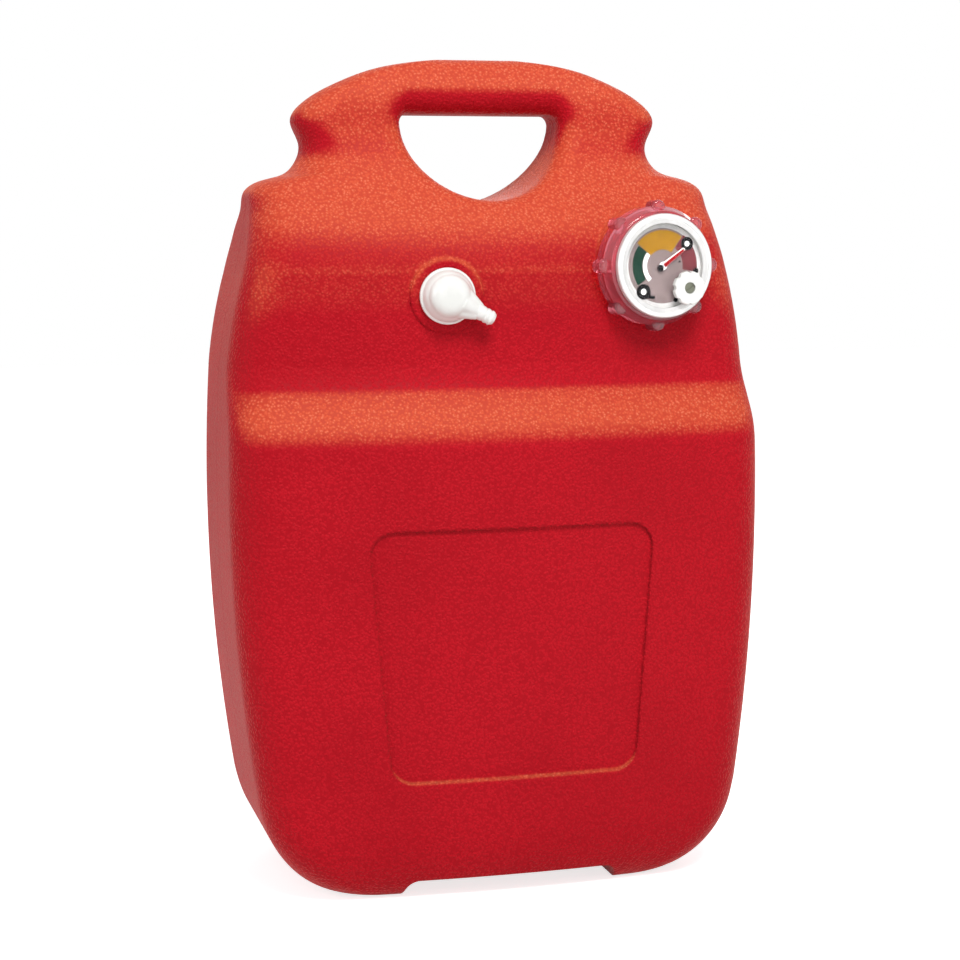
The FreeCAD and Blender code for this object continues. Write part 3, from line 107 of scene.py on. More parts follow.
@dataclass(frozen=True)
class Graph:
    """A node tree being wired, with short calls for nodes and sums."""

    tree: bpy.types.NodeTree

    def feed(self, node: bpy.types.Node, values: dict[int | str, Value]) -> bpy.types.Node:
        """Sets or links a node's inputs.

        Args:
            node: The node.
            values: Input socket by name or number, and its value or the socket that feeds it.

        Returns:
            The same node.
        """
        for name, value in values.items():
            if isinstance(value, bpy.types.NodeSocket):
                self.tree.links.new(value, node.inputs[name])
            else:
                node.inputs[name].default_value = value
        return node

    def node(self, kind: str, values: dict[int | str, Value] | None = None,
             **settings: object) -> bpy.types.Node:
        """Adds a node.

        Args:
            kind: Blender's name of the node type.
            values: Its inputs, as for feed.
            **settings: Properties of the node.

        Returns:
            The new node.
        """
        made = self.tree.nodes.new(kind)
        for name, setting in settings.items():
            setattr(made, name, setting)
        return self.feed(made, values or {})

    def sum(self, operation: str, first: Value, second: Value = 0.0,
            third: Value = 0.0) -> bpy.types.NodeSocket:
        """Adds a Math node and returns its result.

        Args:
            operation: The Math node's operation.
            first: First number.
            second: Second number.
            third: Third number, for operations that have one.

        Returns:
            The result's socket.
        """
        return self.node("ShaderNodeMath", {0: first, 1: second, 2: third},
                         operation=operation).outputs[0]

    def ramp(self, value: Value, start: float, end: float, low: Value = 0.0,
             high: Value = 1.0) -> bpy.types.NodeSocket:
        """A smooth step of a value from one number to another.

        Args:
            value: What is stepped.
            start: Where the step begins.
            end: Where it ends.
            low: Result before the step.
            high: Result after it.

        Returns:
            The result's socket.
        """
        return self.node("ShaderNodeMapRange",
                         {"Value": value, "From Min": start, "From Max": end,
                          "To Min": low, "To Max": high},
                         interpolation_type="SMOOTHSTEP").outputs["Result"]

    def blend(self, share: Value, first: Value, second: Value) -> bpy.types.NodeSocket:
        """Mixes two colours.

        Args:
            share: Nought gives the first, one the second.
            first: First colour.
            second: Second colour.

        Returns:
            The mixed colour's socket.
        """
        return self.node("ShaderNodeMix", {0: share, 6: first, 7: second},
                         data_type="RGBA").outputs[2]

    def vector(self, operation: str, first: Value, second: Value) -> bpy.types.NodeSocket:
        """Adds a Vector Math node and returns its vector."""
        return self.node("ShaderNodeVectorMath", {0: first, 1: second},
                         operation=operation).outputs[0]

    def part(self, vector: bpy.types.NodeSocket, axis: str) -> bpy.types.NodeSocket:
        """One part of a vector: X, Y or Z."""
        return self.node("ShaderNodeSeparateXYZ", {0: vector}).outputs[axis]

    def noise(self, vector: bpy.types.NodeSocket, size: Value, detail: float = 3.0,
              ) -> bpy.types.NodeSocket:
        """Noise whose patches have about a given size.

        Args:
            vector: Place, in metres.
            size: Size of a patch, in metres.
            detail: Finer layers added to it.

        Returns:
            The noise's value.
        """
        per_metre = self.sum("DIVIDE", 1.0, size)
        return self.node("ShaderNodeTexNoise",
                         {"Vector": vector, "Scale": per_metre, "Detail": detail},
                         noise_dimensions="3D").outputs["Fac"]


class Effect(str, Enum):
    """The surface effects that are kept as node groups."""

    PEBBLES = "pebble_grain"
    PATCHES = "tone_patches"
    # Painted top light: a paler tone on faces that look up.
    PAINTED_TOP_LIGHT = "sun_fading"
    SCUFFS = "fine_scuffs"
    TURNING = "turning_rings"
    SEAM = "mould_seam"


class Effects:
    """The shared node groups, each made once."""

    def __init__(self) -> None:
        """Builds every group."""
        self._groups: dict[Effect, bpy.types.NodeTree] = {}
        self._pebbles()
        self._patches()
        self._painted_top_light()
        self._scuffs()
        self._turning()
        self._seam()

    def _start(self, effect: Effect, inputs: dict[str, Value], outputs: dict[str, str],
               ) -> tuple[Graph, bpy.types.Node, bpy.types.Node]:
        """Opens a group with named sockets.

        Args:
            effect: Which effect it holds.
            inputs: Name and default of each input. None stands for a vector.
            outputs: Name and kind of each output.

        Returns:
            The graph, its input node and its output node.
        """
        tree = bpy.data.node_groups.new(effect.value, "ShaderNodeTree")
        for name, default in inputs.items():
            kind = ("NodeSocketVector" if default is None else
                    "NodeSocketColor" if isinstance(default, tuple) else "NodeSocketFloat")
            socket = tree.interface.new_socket(name=name, in_out="INPUT", socket_type=kind)
            if default is not None:
                socket.default_value = default
        for name, kind in outputs.items():
            tree.interface.new_socket(name=name, in_out="OUTPUT", socket_type=kind)
        self._groups[effect] = tree
        graph = Graph(tree)
        return graph, graph.node("NodeGroupInput"), graph.node("NodeGroupOutput")

    def _pebbles(self) -> None:
        """Rounded grains of uneven size with narrow valleys between them."""
        graph, given, result = self._start(
            Effect.PEBBLES, {"Vector": None, "Cell": 0.0025, "Waver": 0.5},
            {"Height": "NodeSocketFloat", "Valley": "NodeSocketFloat"})
        per_metre = graph.sum("DIVIDE", 1.0, given.outputs["Cell"])
        warp = graph.node("ShaderNodeTexNoise",
                          {"Vector": given.outputs["Vector"], "Scale": per_metre,
                           "Detail": 1.0}).outputs["Color"]
        centred = graph.vector("SUBTRACT", warp, (0.5, 0.5, 0.5))
        reach = graph.sum("MULTIPLY", given.outputs["Cell"], given.outputs["Waver"])
        moved = graph.node("ShaderNodeVectorMath", {0: centred, "Scale": reach},
                           operation="SCALE").outputs[0]
        shifted = graph.vector("ADD", given.outputs["Vector"], moved)
        cells = graph.node("ShaderNodeTexVoronoi",
                           {"Vector": shifted, "Scale": per_metre, "Smoothness": 0.35},
                           feature="SMOOTH_F1").outputs["Distance"]
        swell = graph.noise(given.outputs["Vector"],
                            graph.sum("MULTIPLY", given.outputs["Cell"], 3.0), 2.0)
        dome_foot, dome_top, swell_share = 0.62, 0.08, 0.6
        valley_start, valley_floor = 0.42, 0.66
        dome = graph.ramp(cells, dome_foot, dome_top)
        graph.feed(result, {"Height": graph.sum("MULTIPLY_ADD", swell, swell_share, dome),
                            "Valley": graph.ramp(cells, valley_start, valley_floor)})

    def _patches(self) -> None:
        """Slow changes of tone over a surface."""
        graph, given, result = self._start(
            Effect.PATCHES,
            {"Vector": None, "Color": (0.5, 0.5, 0.5, 1), "Patch Color": (0.4, 0.4, 0.4, 1),
             "Size": 0.05, "Amount": 0.5},
            {"Color": "NodeSocketColor", "Mask": "NodeSocketFloat"})
        broad = graph.noise(given.outputs["Vector"], given.outputs["Size"])
        patch_edge, patch_middle = 0.36, 0.66
        share = graph.ramp(broad, patch_edge, patch_middle)
        mask = graph.sum("MULTIPLY", share, given.outputs["Amount"])
        colour = graph.blend(mask, given.outputs["Color"], given.outputs["Patch Color"])
        graph.feed(result, {"Color": colour, "Mask": mask})

    def _painted_top_light(self) -> None:
        """Painted top light: a paler tone on faces that look up."""
        graph, given, result = self._start(
            Effect.PAINTED_TOP_LIGHT,
            {"Normal": None, "Lift": 0.0, "Color": (0.5, 0.5, 0.5, 1),
             "Lit Color": (0.6, 0.5, 0.5, 1), "Amount": 1.0},
            {"Color": "NodeSocketColor", "Mask": "NodeSocketFloat"})
        upward = graph.part(given.outputs["Normal"], "Z")
        steep, level = 0.18, 0.62
        top_lit = graph.ramp(graph.sum("ADD", upward, given.outputs["Lift"]), steep, level)
        mask = graph.sum("MULTIPLY", top_lit, given.outputs["Amount"])
        colour = graph.blend(mask, given.outputs["Color"], given.outputs["Lit Color"])
        graph.feed(result, {"Color": colour, "Mask": mask})

    def _scuffs(self) -> None:
        """Thin rubbed streaks in two directions."""
        graph, given, result = self._start(
            Effect.SCUFFS, {"Vector": None, "Size": 0.01, "Amount": 0.5},
            {"Mask": "NodeSocketFloat"})
        total: Value = 0.0
        faint, clear = 0.66, 0.74
        for turn, squeeze in ((0.6, (1.0, 9.0, 9.0)), (-0.9, (9.0, 1.0, 9.0))):
            laid = graph.node("ShaderNodeMapping",
                              {"Vector": given.outputs["Vector"], "Rotation": (turn, turn, 0.4),
                               "Scale": squeeze}).outputs[0]
            streak = graph.noise(laid, given.outputs["Size"], 2.0)
            total = graph.sum("ADD", graph.ramp(streak, faint, clear), total)
        mask = graph.sum("MINIMUM", graph.sum("MULTIPLY", total, given.outputs["Amount"]), 1.0)
        graph.feed(result, {"Mask": mask})

    def _turning(self) -> None:
        """Fine rings round the local Z axis, as a lathe leaves them."""
        graph, given, result = self._start(
            Effect.TURNING, {"Vector": None, "Pitch": 0.0004}, {"Height": "NodeSocketFloat"})
        flat = graph.vector("MULTIPLY", given.outputs["Vector"], (1.0, 1.0, 0.0))
        radius = graph.node("ShaderNodeVectorMath", {0: flat},
                            operation="LENGTH").outputs["Value"]
        rings = graph.node("ShaderNodeTexNoise",
                           {"W": graph.sum("DIVIDE", radius, given.outputs["Pitch"]),
                            "Scale": 1.0, "Detail": 2.0}, noise_dimensions="1D")
        graph.feed(result, {"Height": rings.outputs["Fac"]})

    def _seam(self) -> None:
        """The low ridge where two mould halves met, in the plane of the local X and Z."""
        graph, given, result = self._start(
            Effect.SEAM, {"Vector": None, "Width": 0.001}, {"Height": "NodeSocketFloat"})
        depth = graph.sum("ABSOLUTE", graph.part(given.outputs["Vector"], "Y"))
        off = graph.sum("DIVIDE", depth, given.outputs["Width"])
        foot, crest = 1.0, 0.2
        graph.feed(result, {"Height": graph.ramp(off, foot, crest)})

    def place(self, graph: Graph, effect: Effect, values: dict[int | str, Value],
              ) -> bpy.types.Node:
        """Puts an effect in a material.

        Args:
            graph: The material's graph.
            effect: The effect.
            values: Its inputs.

        Returns:
            The group node.
        """
        return graph.node("ShaderNodeGroup", values, node_tree=self._groups[effect])


# ------------------------------------------------------------------ finishes


def toned(colour: Colour, factor: float, lift: float = 0.0) -> Colour:
    """A colour made darker or lighter, with a little white added."""
    red, green, blue = (min(1.0, factor * part + lift) for part in colour[:3])
    return red, green, blue, 1.0


@dataclass(frozen=True)
class Finish:
    """What every finish has: a name, a slot and its main colour."""

    name: str
    slot: Slot
    colour: Colour

    def material(self, effects: Effects) -> bpy.types.Material:
        """Makes the material.

        Args:
            effects: The shared node groups.

        Returns:
            The finished material.
        """
        made = bpy.data.materials.new(self.name)
        made.use_nodes = True
        made.node_tree.nodes.clear()
        made.diffuse_color = self.colour
        graph = Graph(made.node_tree)
        shader = graph.node("ShaderNodeBsdfPrincipled")
        output = graph.node("ShaderNodeOutputMaterial")
        place = graph.node("ShaderNodeTexCoord").outputs["Object"]
        self.wire(graph, effects, shader, place)
        made.node_tree.links.new(self.surface(graph, shader), output.inputs["Surface"])
        return made

    def wire(self, graph: Graph, effects: Effects, shader: bpy.types.Node,
             place: bpy.types.NodeSocket) -> None:
        """Wires the shader.

        Args:
            graph: The material's graph.
            effects: The shared node groups.
            shader: The Principled BSDF.
            place: Object coordinates, in metres.
        """
        raise NotImplementedError

    def surface(self, graph: Graph, shader: bpy.types.Node) -> bpy.types.NodeSocket:
        """The shader that goes to the output."""
        return shader.outputs["BSDF"]

    @staticmethod
    def bump(graph: Graph, shader: bpy.types.Node, height: Value, depth: float,
             normal: bpy.types.NodeSocket | None = None) -> None:
        """Feeds a height to the shader's normal.

        Args:
            graph: The material's graph.
            shader: The Principled BSDF.
            height: Height from nought to one.
            depth: What a height of one stands for, in metres.
            normal: The normal that the height is laid on, if not the mesh's own.
        """
        bump = graph.node("ShaderNodeBump", {"Height": height, "Distance": depth})
        if normal is not None:
            graph.feed(bump, {"Normal": normal})
        graph.feed(shader, {"Normal": bump.outputs["Normal"]})

    @staticmethod
    def mottle(graph: Graph, effects: Effects, place: bpy.types.NodeSocket, first: Colour,
               second: Colour, size: float, amount: float) -> bpy.types.NodeSocket:
        """Two tones in slow patches.

        Args:
            graph: The material's graph.
            effects: The shared node groups.
            place: Object coordinates, in metres.
            first: The main tone.
            second: The tone of the patches.
            size: Size of a patch, in metres.
            amount: How far the second tone comes through.

        Returns:
            The colour's socket.
        """
        return effects.place(graph, Effect.PATCHES, {
            "Vector": place, "Color": first, "Patch Color": second, "Size": size,
            "Amount": amount}).outputs["Color"]


# Steps of painted light and shade on the way up the front: the ledge's lip and its back, the
# crease, the upper face in two, the bend under the shoulder, the shoulder, the head and the
# grip.
# Each has the heights where it starts and ends, and what it adds to the painted top light; a
# negative share is painted shade.
PAINTED_LIGHT_STEPS = ((0.280, 0.288, 0.14), (0.297, 0.312, -0.14), (0.312, 0.319, -0.25),
                  (0.322, 0.336, 0.27), (0.336, 0.376, 0.26), (0.383, 0.403, -0.36),
                  (0.405, 0.420, 0.10), (0.460, 0.477, 0.36), (0.486, 0.500, -0.02))


@dataclass(frozen=True)
class PebbledPlastic(Finish):
    """Blow-moulded plastic with a leather grain and painted top light on what faces up."""

    # The paler red of the painted top light, the painted highlight on the grain's crests, and a
    # darker red that is both the slow patches' tone and the painted shade in the grain's
    # valleys.
    lit_tone: Colour = (0.64, 0.092, 0.04, 1.0)
    crest: Colour = (0.80, 0.20, 0.115, 1.0)
    shade: Colour = (0.33, 0.003, 0.009, 1.0)
    bloom: Colour = (1.0, 0.31, 0.16, 1.0)
    cell: float = 0.0019
    waver: float = 0.35
    depth: float = 0.0004
    edge: float = 0.0034
    tone_size: float = 0.11
    tone_share: float = 0.35
    top_light_share: float = 0.95
    valley_shade_share: float = 0.6
    lit_valley_shade_share: float = 0.34
    crest_highlight_share: float = 0.65
    crest_highlight_start: float = 0.8
    crest_highlight_end: float = 1.3
    seam_width: float = 0.0011
    seam_rise: float = 1.2
    scuff_size: float = 0.03
    scuff_share: float = 0.25
    scuffed: float = 0.18
    roughness: float = 0.5
    gloss: float = 0.07
    sheen: float = 0.22
    sheen_roughness: float = 0.35

    def wire(self, graph: Graph, effects: Effects, shader: bpy.types.Node,
             place: bpy.types.NodeSocket) -> None:
        """Wires grain, painted top light, slow tone patches, scuffs and the mould's seam."""
        tone = self.mottle(graph, effects, place, self.colour, self.shade, self.tone_size,
                           self.tone_share)
        soft = graph.node("ShaderNodeBevel", {"Radius": self.edge}, samples=8).outputs["Normal"]
        # Painted top light: paler where the softened normal faces up, plus painted light and
        # shade by height.
        top_light = effects.place(graph, Effect.PAINTED_TOP_LIGHT, {
            "Normal": soft, "Lift": self.painted_light_by_height(graph, place, soft), "Color": tone,
            "Lit Color": self.lit_tone, "Amount": self.top_light_share}).outputs
        pebbles = effects.place(graph, Effect.PEBBLES, {
            "Vector": place, "Cell": self.cell, "Waver": self.waver}).outputs
        scuffs = effects.place(graph, Effect.SCUFFS, {
            "Vector": place, "Size": self.scuff_size, "Amount": self.scuff_share})
        seam = effects.place(graph, Effect.SEAM, {"Vector": place, "Width": self.seam_width})
        # Painted shade in the grain's valleys, less of it under the painted top light.
        dark = graph.sum("MULTIPLY_ADD", top_light["Mask"],
                         self.lit_valley_shade_share - self.valley_shade_share, self.valley_shade_share)
        valley = graph.sum("MULTIPLY", pebbles["Valley"], dark)
        # Painted highlights on the grain's crests, only under the painted top light.
        crest = graph.sum("MULTIPLY",
                          graph.ramp(pebbles["Height"], self.crest_highlight_start, self.crest_highlight_end),
                          graph.sum("MULTIPLY", top_light["Mask"], self.crest_highlight_share))
        valley_shaded = graph.blend(valley, top_light["Color"], self.shade)
        graph.feed(shader, {
            "Base Color": graph.blend(crest, valley_shaded, self.crest),
            "Roughness": graph.sum("MULTIPLY_ADD", scuffs.outputs["Mask"], self.scuffed,
                                   self.roughness),
            "Specular IOR Level": self.gloss, "Sheen Weight": self.sheen,
            "Sheen Roughness": self.sheen_roughness, "Sheen Tint": self.bloom})
        height = graph.sum("MULTIPLY_ADD", seam.outputs["Height"], self.seam_rise,
                           pebbles["Height"])
        self.bump(graph, shader, height, self.depth, soft)

    @staticmethod
    def painted_light_by_height(graph: Graph, place: bpy.types.NodeSocket, normal: bpy.types.NodeSocket,
                 ) -> bpy.types.NodeSocket:
        """Painted light the front gets at each height beyond its slope; a loss is painted shade.

        Args:
            graph: The material's graph.
            place: Object coordinates, in metres.
            normal: The smoothed normal.

        Returns:
            What is added to the slope: nought on the flanks and the back.
        """
        height = graph.part(place, "Z")
        facing_back = graph.part(normal, "Y")
        total: Value = 0.0
        for start, end, share in PAINTED_LIGHT_STEPS:
            total = graph.sum("ADD", graph.ramp(height, start, end, 0.0, share), total)
        flank, front = -0.35, -0.8
        return graph.sum("MULTIPLY", graph.ramp(facing_back, flank, front), total)


@dataclass(frozen=True)
class MouldedPlastic(Finish):
    """A plain moulded part: slow tone patches, light scuffs and a faint skin."""

    shade: Colour = (0.6, 0.6, 0.58, 1.0)
    roughness: float = 0.3
    patch: float = 0.012
    tone_share: float = 0.4
    scuff_share: float = 0.3
    scuffed: float = 0.2
    skin: float = 0.0012
    depth: float = 0.00002
    coat: float = 0.0
    coat_roughness: float = 0.08

    def wire(self, graph: Graph, effects: Effects, shader: bpy.types.Node,
             place: bpy.types.NodeSocket) -> None:
        """Wires the tone patches, the scuffs and the skin."""
        scuffs = effects.place(graph, Effect.SCUFFS, {
            "Vector": place, "Size": self.patch / 3, "Amount": self.scuff_share})
        graph.feed(shader, {
            "Base Color": self.mottle(graph, effects, place, self.colour, self.shade,
                                      self.patch, self.tone_share),
            "Roughness": graph.sum("MULTIPLY_ADD", scuffs.outputs["Mask"], self.scuffed,
                                   self.roughness),
            "Coat Weight": self.coat, "Coat Roughness": self.coat_roughness})
        self.bump(graph, shader, graph.noise(place, self.skin), self.depth)


@dataclass(frozen=True)
class ClearPlastic(Finish):
    """See-through plastic with hairline scuffs."""

    transmission: float = 1.0
    roughness: float = 0.03
    swirl: float = 0.02
    deep_tone: float = 0.72
    tone_share: float = 0.45
    scuff_share: float = 0.4
    scuffed: float = 0.1
    depth: float = 0.00001
    index: float = 1.49
    lets_through: Colour = (1.0, 1.0, 1.0, 1.0)

    def wire(self, graph: Graph, effects: Effects, shader: bpy.types.Node,
             place: bpy.types.NodeSocket) -> None:
        """Wires a plain transmission with scuffed gloss and uneven colour."""
        scuffs = effects.place(graph, Effect.SCUFFS, {
            "Vector": place, "Size": self.swirl / 2, "Amount": self.scuff_share})
        deep = toned(self.colour, self.deep_tone)
        graph.feed(shader, {
            "Base Color": self.mottle(graph, effects, place, self.colour, deep, self.swirl,
                                      self.tone_share),
            "Roughness": graph.sum("MULTIPLY_ADD", scuffs.outputs["Mask"], self.scuffed,
                                   self.roughness),
            "Transmission Weight": self.transmission, "IOR": self.index})
        self.bump(graph, shader, graph.noise(place, self.swirl), self.depth)

    def surface(self, graph: Graph, shader: bpy.types.Node) -> bpy.types.NodeSocket:
        """Lets the lamps' light reach what lies behind."""
        clear = graph.node("ShaderNodeBsdfTransparent", {"Color": self.lets_through})
        shadow = graph.node("ShaderNodeLightPath").outputs["Is Shadow Ray"]
        return graph.node("ShaderNodeMixShader", {
            0: shadow, 1: shader.outputs["BSDF"], 2: clear.outputs["BSDF"]}).outputs[0]


@dataclass(frozen=True)
class TurnedMetal(Finish):
    """Metal with fine turning rings round an axis, or drawn lines without one."""

    axis: Matrix | None = None
    roughness: float = 0.28
    pitch: float = 0.00035
    metallic: float = 1.0
    dull_tone: float = 0.8
    patch: float = 0.006
    tone_share: float = 0.5
    ring_roughness: float = 0.16
    depth: float = 0.00001

    def wire(self, graph: Graph, effects: Effects, shader: bpy.types.Node,
             place: bpy.types.NodeSocket) -> None:
        """Wires the rings, centred on the part's axis by a mapping."""
        centred = place
        if self.axis is not None:
            inverse = self.axis.inverted()
            centred = graph.node("ShaderNodeMapping", {
                "Vector": place, "Location": tuple(inverse.translation),
                "Rotation": tuple(inverse.to_euler())}).outputs[0]
        rings = effects.place(graph, Effect.TURNING, {
            "Vector": centred, "Pitch": self.pitch}).outputs["Height"]
        dull = toned(self.colour, self.dull_tone)
        graph.feed(shader, {
            "Base Color": self.mottle(graph, effects, place, self.colour, dull, self.patch,
                                      self.tone_share),
            "Metallic": self.metallic,
            "Roughness": graph.sum("MULTIPLY_ADD", rings, self.ring_roughness,
                                   self.roughness)})
        self.bump(graph, shader, rings, self.depth)


@dataclass(frozen=True)
class PrintedInk(Finish):
    """Screen-printed ink, slightly uneven and speckled."""

    roughness: float = 0.5
    unevenness: float = 0.2
    speckle: float = 0.0007
    pale_tone: float = 1.35
    pale_lift: float = 0.008
    tone_share: float = 0.35
    gloss: float = 0.1
    depth: float = 0.00001

    def wire(self, graph: Graph, effects: Effects, shader: bpy.types.Node,
             place: bpy.types.NodeSocket) -> None:
        """Wires the ink's mottling and its faint relief."""
        speckles = graph.noise(place, self.speckle)
        pale = toned(self.colour, self.pale_tone, self.pale_lift)
        graph.feed(shader, {
            "Base Color": self.mottle(graph, effects, place, self.colour, pale,
                                      self.speckle * 3, self.tone_share),
            "Roughness": graph.sum("MULTIPLY_ADD", speckles, self.unevenness,
                                   self.roughness - self.unevenness / 2),
            "Specular IOR Level": self.gloss})
        self.bump(graph, shader, speckles, self.depth)


@dataclass(frozen=True)
class Foam(Finish):
    """Closed-cell foam with fine pores."""

    cell: float = 0.0008
    waver: float = 0.4
    pore_shade_tone: float = 0.4
    roughness: float = 0.85
    depth: float = 0.0001

    def wire(self, graph: Graph, effects: Effects, shader: bpy.types.Node,
             place: bpy.types.NodeSocket) -> None:
        """Wires the pores, with painted shade at their bottoms."""
        pebbles = effects.place(graph, Effect.PEBBLES, {
            "Vector": place, "Cell": self.cell, "Waver": self.waver}).outputs
        dark = toned(self.colour, self.pore_shade_tone)
        graph.feed(shader, {"Base Color": graph.blend(pebbles["Valley"], self.colour, dark),
                            "Roughness": self.roughness})
        self.bump(graph, shader, pebbles["Height"], self.depth)


@dataclass
class FinishStore:
    """Makes each finish's material once."""

    effects: Effects
    made: dict[str, bpy.types.Material] = field(default_factory=dict)

    def get(self, finish: Finish) -> bpy.types.Material:
        """Returns a finish's material, made on first use."""
        if finish.name not in self.made:
            self.made[finish.name] = finish.material(self.effects)
        return self.made[finish.name]

    def dress(self, piece: bpy.types.Object, finish: Finish) -> None:
        """Gives a finish to every material slot of a piece.

        Args:
            piece: The piece.
            finish: The finish.
        """
        material = self.get(finish)
        if not piece.material_slots:
            piece.data.materials.append(material)
        for slot in piece.material_slots:
            slot.material = material


# ------------------------------------------------------------------ modelling


class Bench:
    """Modelling steps that the sub-assemblies share."""

    @staticmethod
    def clear() -> None:
        """Leaves edit mode and deselects everything."""
        if bpy.context.mode != "OBJECT":
            bpy.ops.object.mode_set(mode="OBJECT")
        bpy.ops.object.select_all(action="DESELECT")

    @staticmethod
    def pick(piece: bpy.types.Object) -> None:
        """Makes a piece the only selected and active one."""
        Bench.clear()
        piece.select_set(True)
        bpy.context.view_layer.objects.active = piece

    @staticmethod
    def edit(piece: bpy.types.Object) -> None:
        """Opens a piece in edit mode with all of it selected."""
        Bench.pick(piece)
        bpy.ops.object.mode_set(mode="EDIT")
        bpy.ops.mesh.select_all(action="SELECT")

    @staticmethod
    def tidy(piece: bpy.types.Object) -> None:
        """Merges doubles, turns faces outwards and shades a closed piece."""
        Bench.edit(piece)
        bpy.ops.mesh.remove_doubles(threshold=1e-6)
        bpy.ops.mesh.normals_make_consistent(inside=False)
        bpy.ops.object.mode_set(mode="OBJECT")
        bpy.ops.object.shade_smooth_by_angle(angle=math.radians(SMOOTH_ANGLE))

    @staticmethod
    def apply(piece: bpy.types.Object, kind: str, **settings: object) -> None:
        """Adds a modifier and applies it.

        Args:
            piece: The piece.
            kind: Blender's modifier type.
            **settings: The modifier's properties.
        """
        Bench.pick(piece)
        modifier = piece.modifiers.new(kind.lower(), kind)
        for name, setting in settings.items():
            setattr(modifier, name, setting)
        bpy.ops.object.modifier_apply(modifier=modifier.name)

    @staticmethod
    def settle(piece: bpy.types.Object, frame: Matrix) -> None:
        """Moves a piece made at the origin into a fitting's frame and bakes its place.

        Args:
            piece: The piece.
            frame: The fitting's frame.
        """
        piece.matrix_world = frame @ piece.matrix_world
        Bench.pick(piece)
        bpy.ops.object.transform_apply(location=True, rotation=True, scale=True)

    @staticmethod
    def turned(name: str, profile: Profile, steps: int = 96) -> bpy.types.Object:
        """A closed ring or disc, spun from a closed profile round the Z axis.

        Args:
            name: The piece's name.
            profile: Corners (radius, height) of the profile, in millimetres.
            steps: Steps of the full turn.

        Returns:
            The piece.
        """
        Bench.clear()
        bpy.ops.mesh.primitive_circle_add(vertices=len(profile), radius=MM)
        piece = bpy.context.object
        piece.name = piece.data.name = name
        for vertex, (radius, height) in zip(piece.data.vertices, profile):
            vertex.co = Vector((radius * MM, 0.0, height * MM))
        Bench.edit(piece)
        bpy.ops.mesh.spin(steps=steps, angle=math.tau, center=(0, 0, 0), axis=(0, 0, 1))
        Bench.tidy(piece)
        return piece

    @staticmethod
    def plate(name: str, outline: Profile, bottom: float, top: float) -> bpy.types.Object:
        """A flat plate raised from an outline.

        Args:
            name: The piece's name.
            outline: Corners of the outline, in millimetres.
            bottom: Height of its underside.
            top: Height of its top.

        Returns:
            The piece.
        """
        Bench.clear()
        bpy.ops.mesh.primitive_circle_add(vertices=len(outline), radius=MM, fill_type="NGON")
        piece = bpy.context.object
        piece.name = piece.data.name = name
        for vertex, (across, up) in zip(piece.data.vertices, outline):
            vertex.co = Vector((across * MM, up * MM, bottom * MM))
        Bench.edit(piece)
        bpy.ops.mesh.extrude_region_move(
            TRANSFORM_OT_translate={"value": (0, 0, (top - bottom) * MM)})
        Bench.tidy(piece)
        return piece

    @staticmethod
    def joined(name: str, parts: list[bpy.types.Object]) -> bpy.types.Object:
        """Joins parts of one print or moulding into a single piece.

        Args:
            name: The piece's name.
            parts: The parts.

        Returns:
            The piece.
        """
        Bench.clear()
        for part in parts:
            part.select_set(True)
        bpy.context.view_layer.objects.active = parts[0]
        bpy.ops.object.join()
        piece = bpy.context.object
        piece.name = piece.data.name = name
        return piece

    @staticmethod
    def copy_node(name: str, node: bpy.types.Object) -> bpy.types.Object:
        """A merged copy of a solid's mesh, for reworking.

        Args:
            name: The new piece's name.
            node: The solid's object.

        Returns:
            The copy.
        """
        copy = bpy.data.objects.new(name, node.data.copy())
        copy.data.name = name
        copy.matrix_world = node.matrix_world
        bpy.context.collection.objects.link(copy)
        Bench.settle(copy, Matrix())
        Bench.tidy(copy)
        return copy


def bow(centre: tuple[float, float], radius: float, start: float, end: float,
        count: int = 6) -> Profile:
    """Points on an arc.

    Args:
        centre: The arc's centre.
        radius: Its radius.
        start: First angle, in degrees, from the first axis.
        end: Last angle.
        count: Number of spans.

    Returns:
        The points, ends included.
    """
    turns = [math.radians(start + (end - start) * step / count) for step in range(count + 1)]
    return [(centre[0] + radius * math.cos(turn), centre[1] + radius * math.sin(turn))
            for turn in turns]


def clock(angle: float, radius: float) -> tuple[float, float]:
    """A point on a dial at an angle clockwise from its top, in degrees."""
    turn = math.radians(90.0 - angle)
    return radius * math.cos(turn), radius * math.sin(turn)


@dataclass
class Assembly:
    """What every sub-assembly has: the loaded frame, the finishes and its pieces."""

    frame: dict
    finishes: FinishStore
    pieces: list[bpy.types.Object] = field(default_factory=list)

    def fitting_frame(self, joint_name: str) -> Matrix:
        """The frame of a fitting that turns about a joint: Z outwards, Y up.

        Args:
            joint_name: The joint.

        Returns:
            The frame, at the joint's point.
        """
        joint = next(one for one in self.frame["joints"] if one["name"] == joint_name)
        out = Vector(joint["axis"]).normalized()
        across = Vector((0, 0, 1)).cross(out).normalized()
        frame = Matrix((across, out.cross(across), out)).transposed().to_4x4()
        frame.translation = Vector(joint["pos_m"])
        return frame

    def add(self, piece: bpy.types.Object, body: Body, finish: Finish,
            stands_for: str | None = None) -> None:
        """Finishes a new piece and puts it on its body.

        Args:
            piece: The piece, in its place.
            body: The body that carries it.
            finish: Its finish.
            stands_for: The solid that it replaces, if any.
        """
        self.finishes.dress(piece, finish)
        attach(piece, body.value)
        if stands_for:
            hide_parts(stands_for)
        self.pieces.append(piece)

    def dress_node(self, name: str, finish: Finish) -> None:
        """Gives a solid its finish.

        Args:
            name: The solid's name.
            finish: The finish.
        """
        node = self.frame["nodes"][name]
        self.finishes.dress(node, finish)
        self.pieces.append(node)


# ------------------------------------------------------------------ the tank


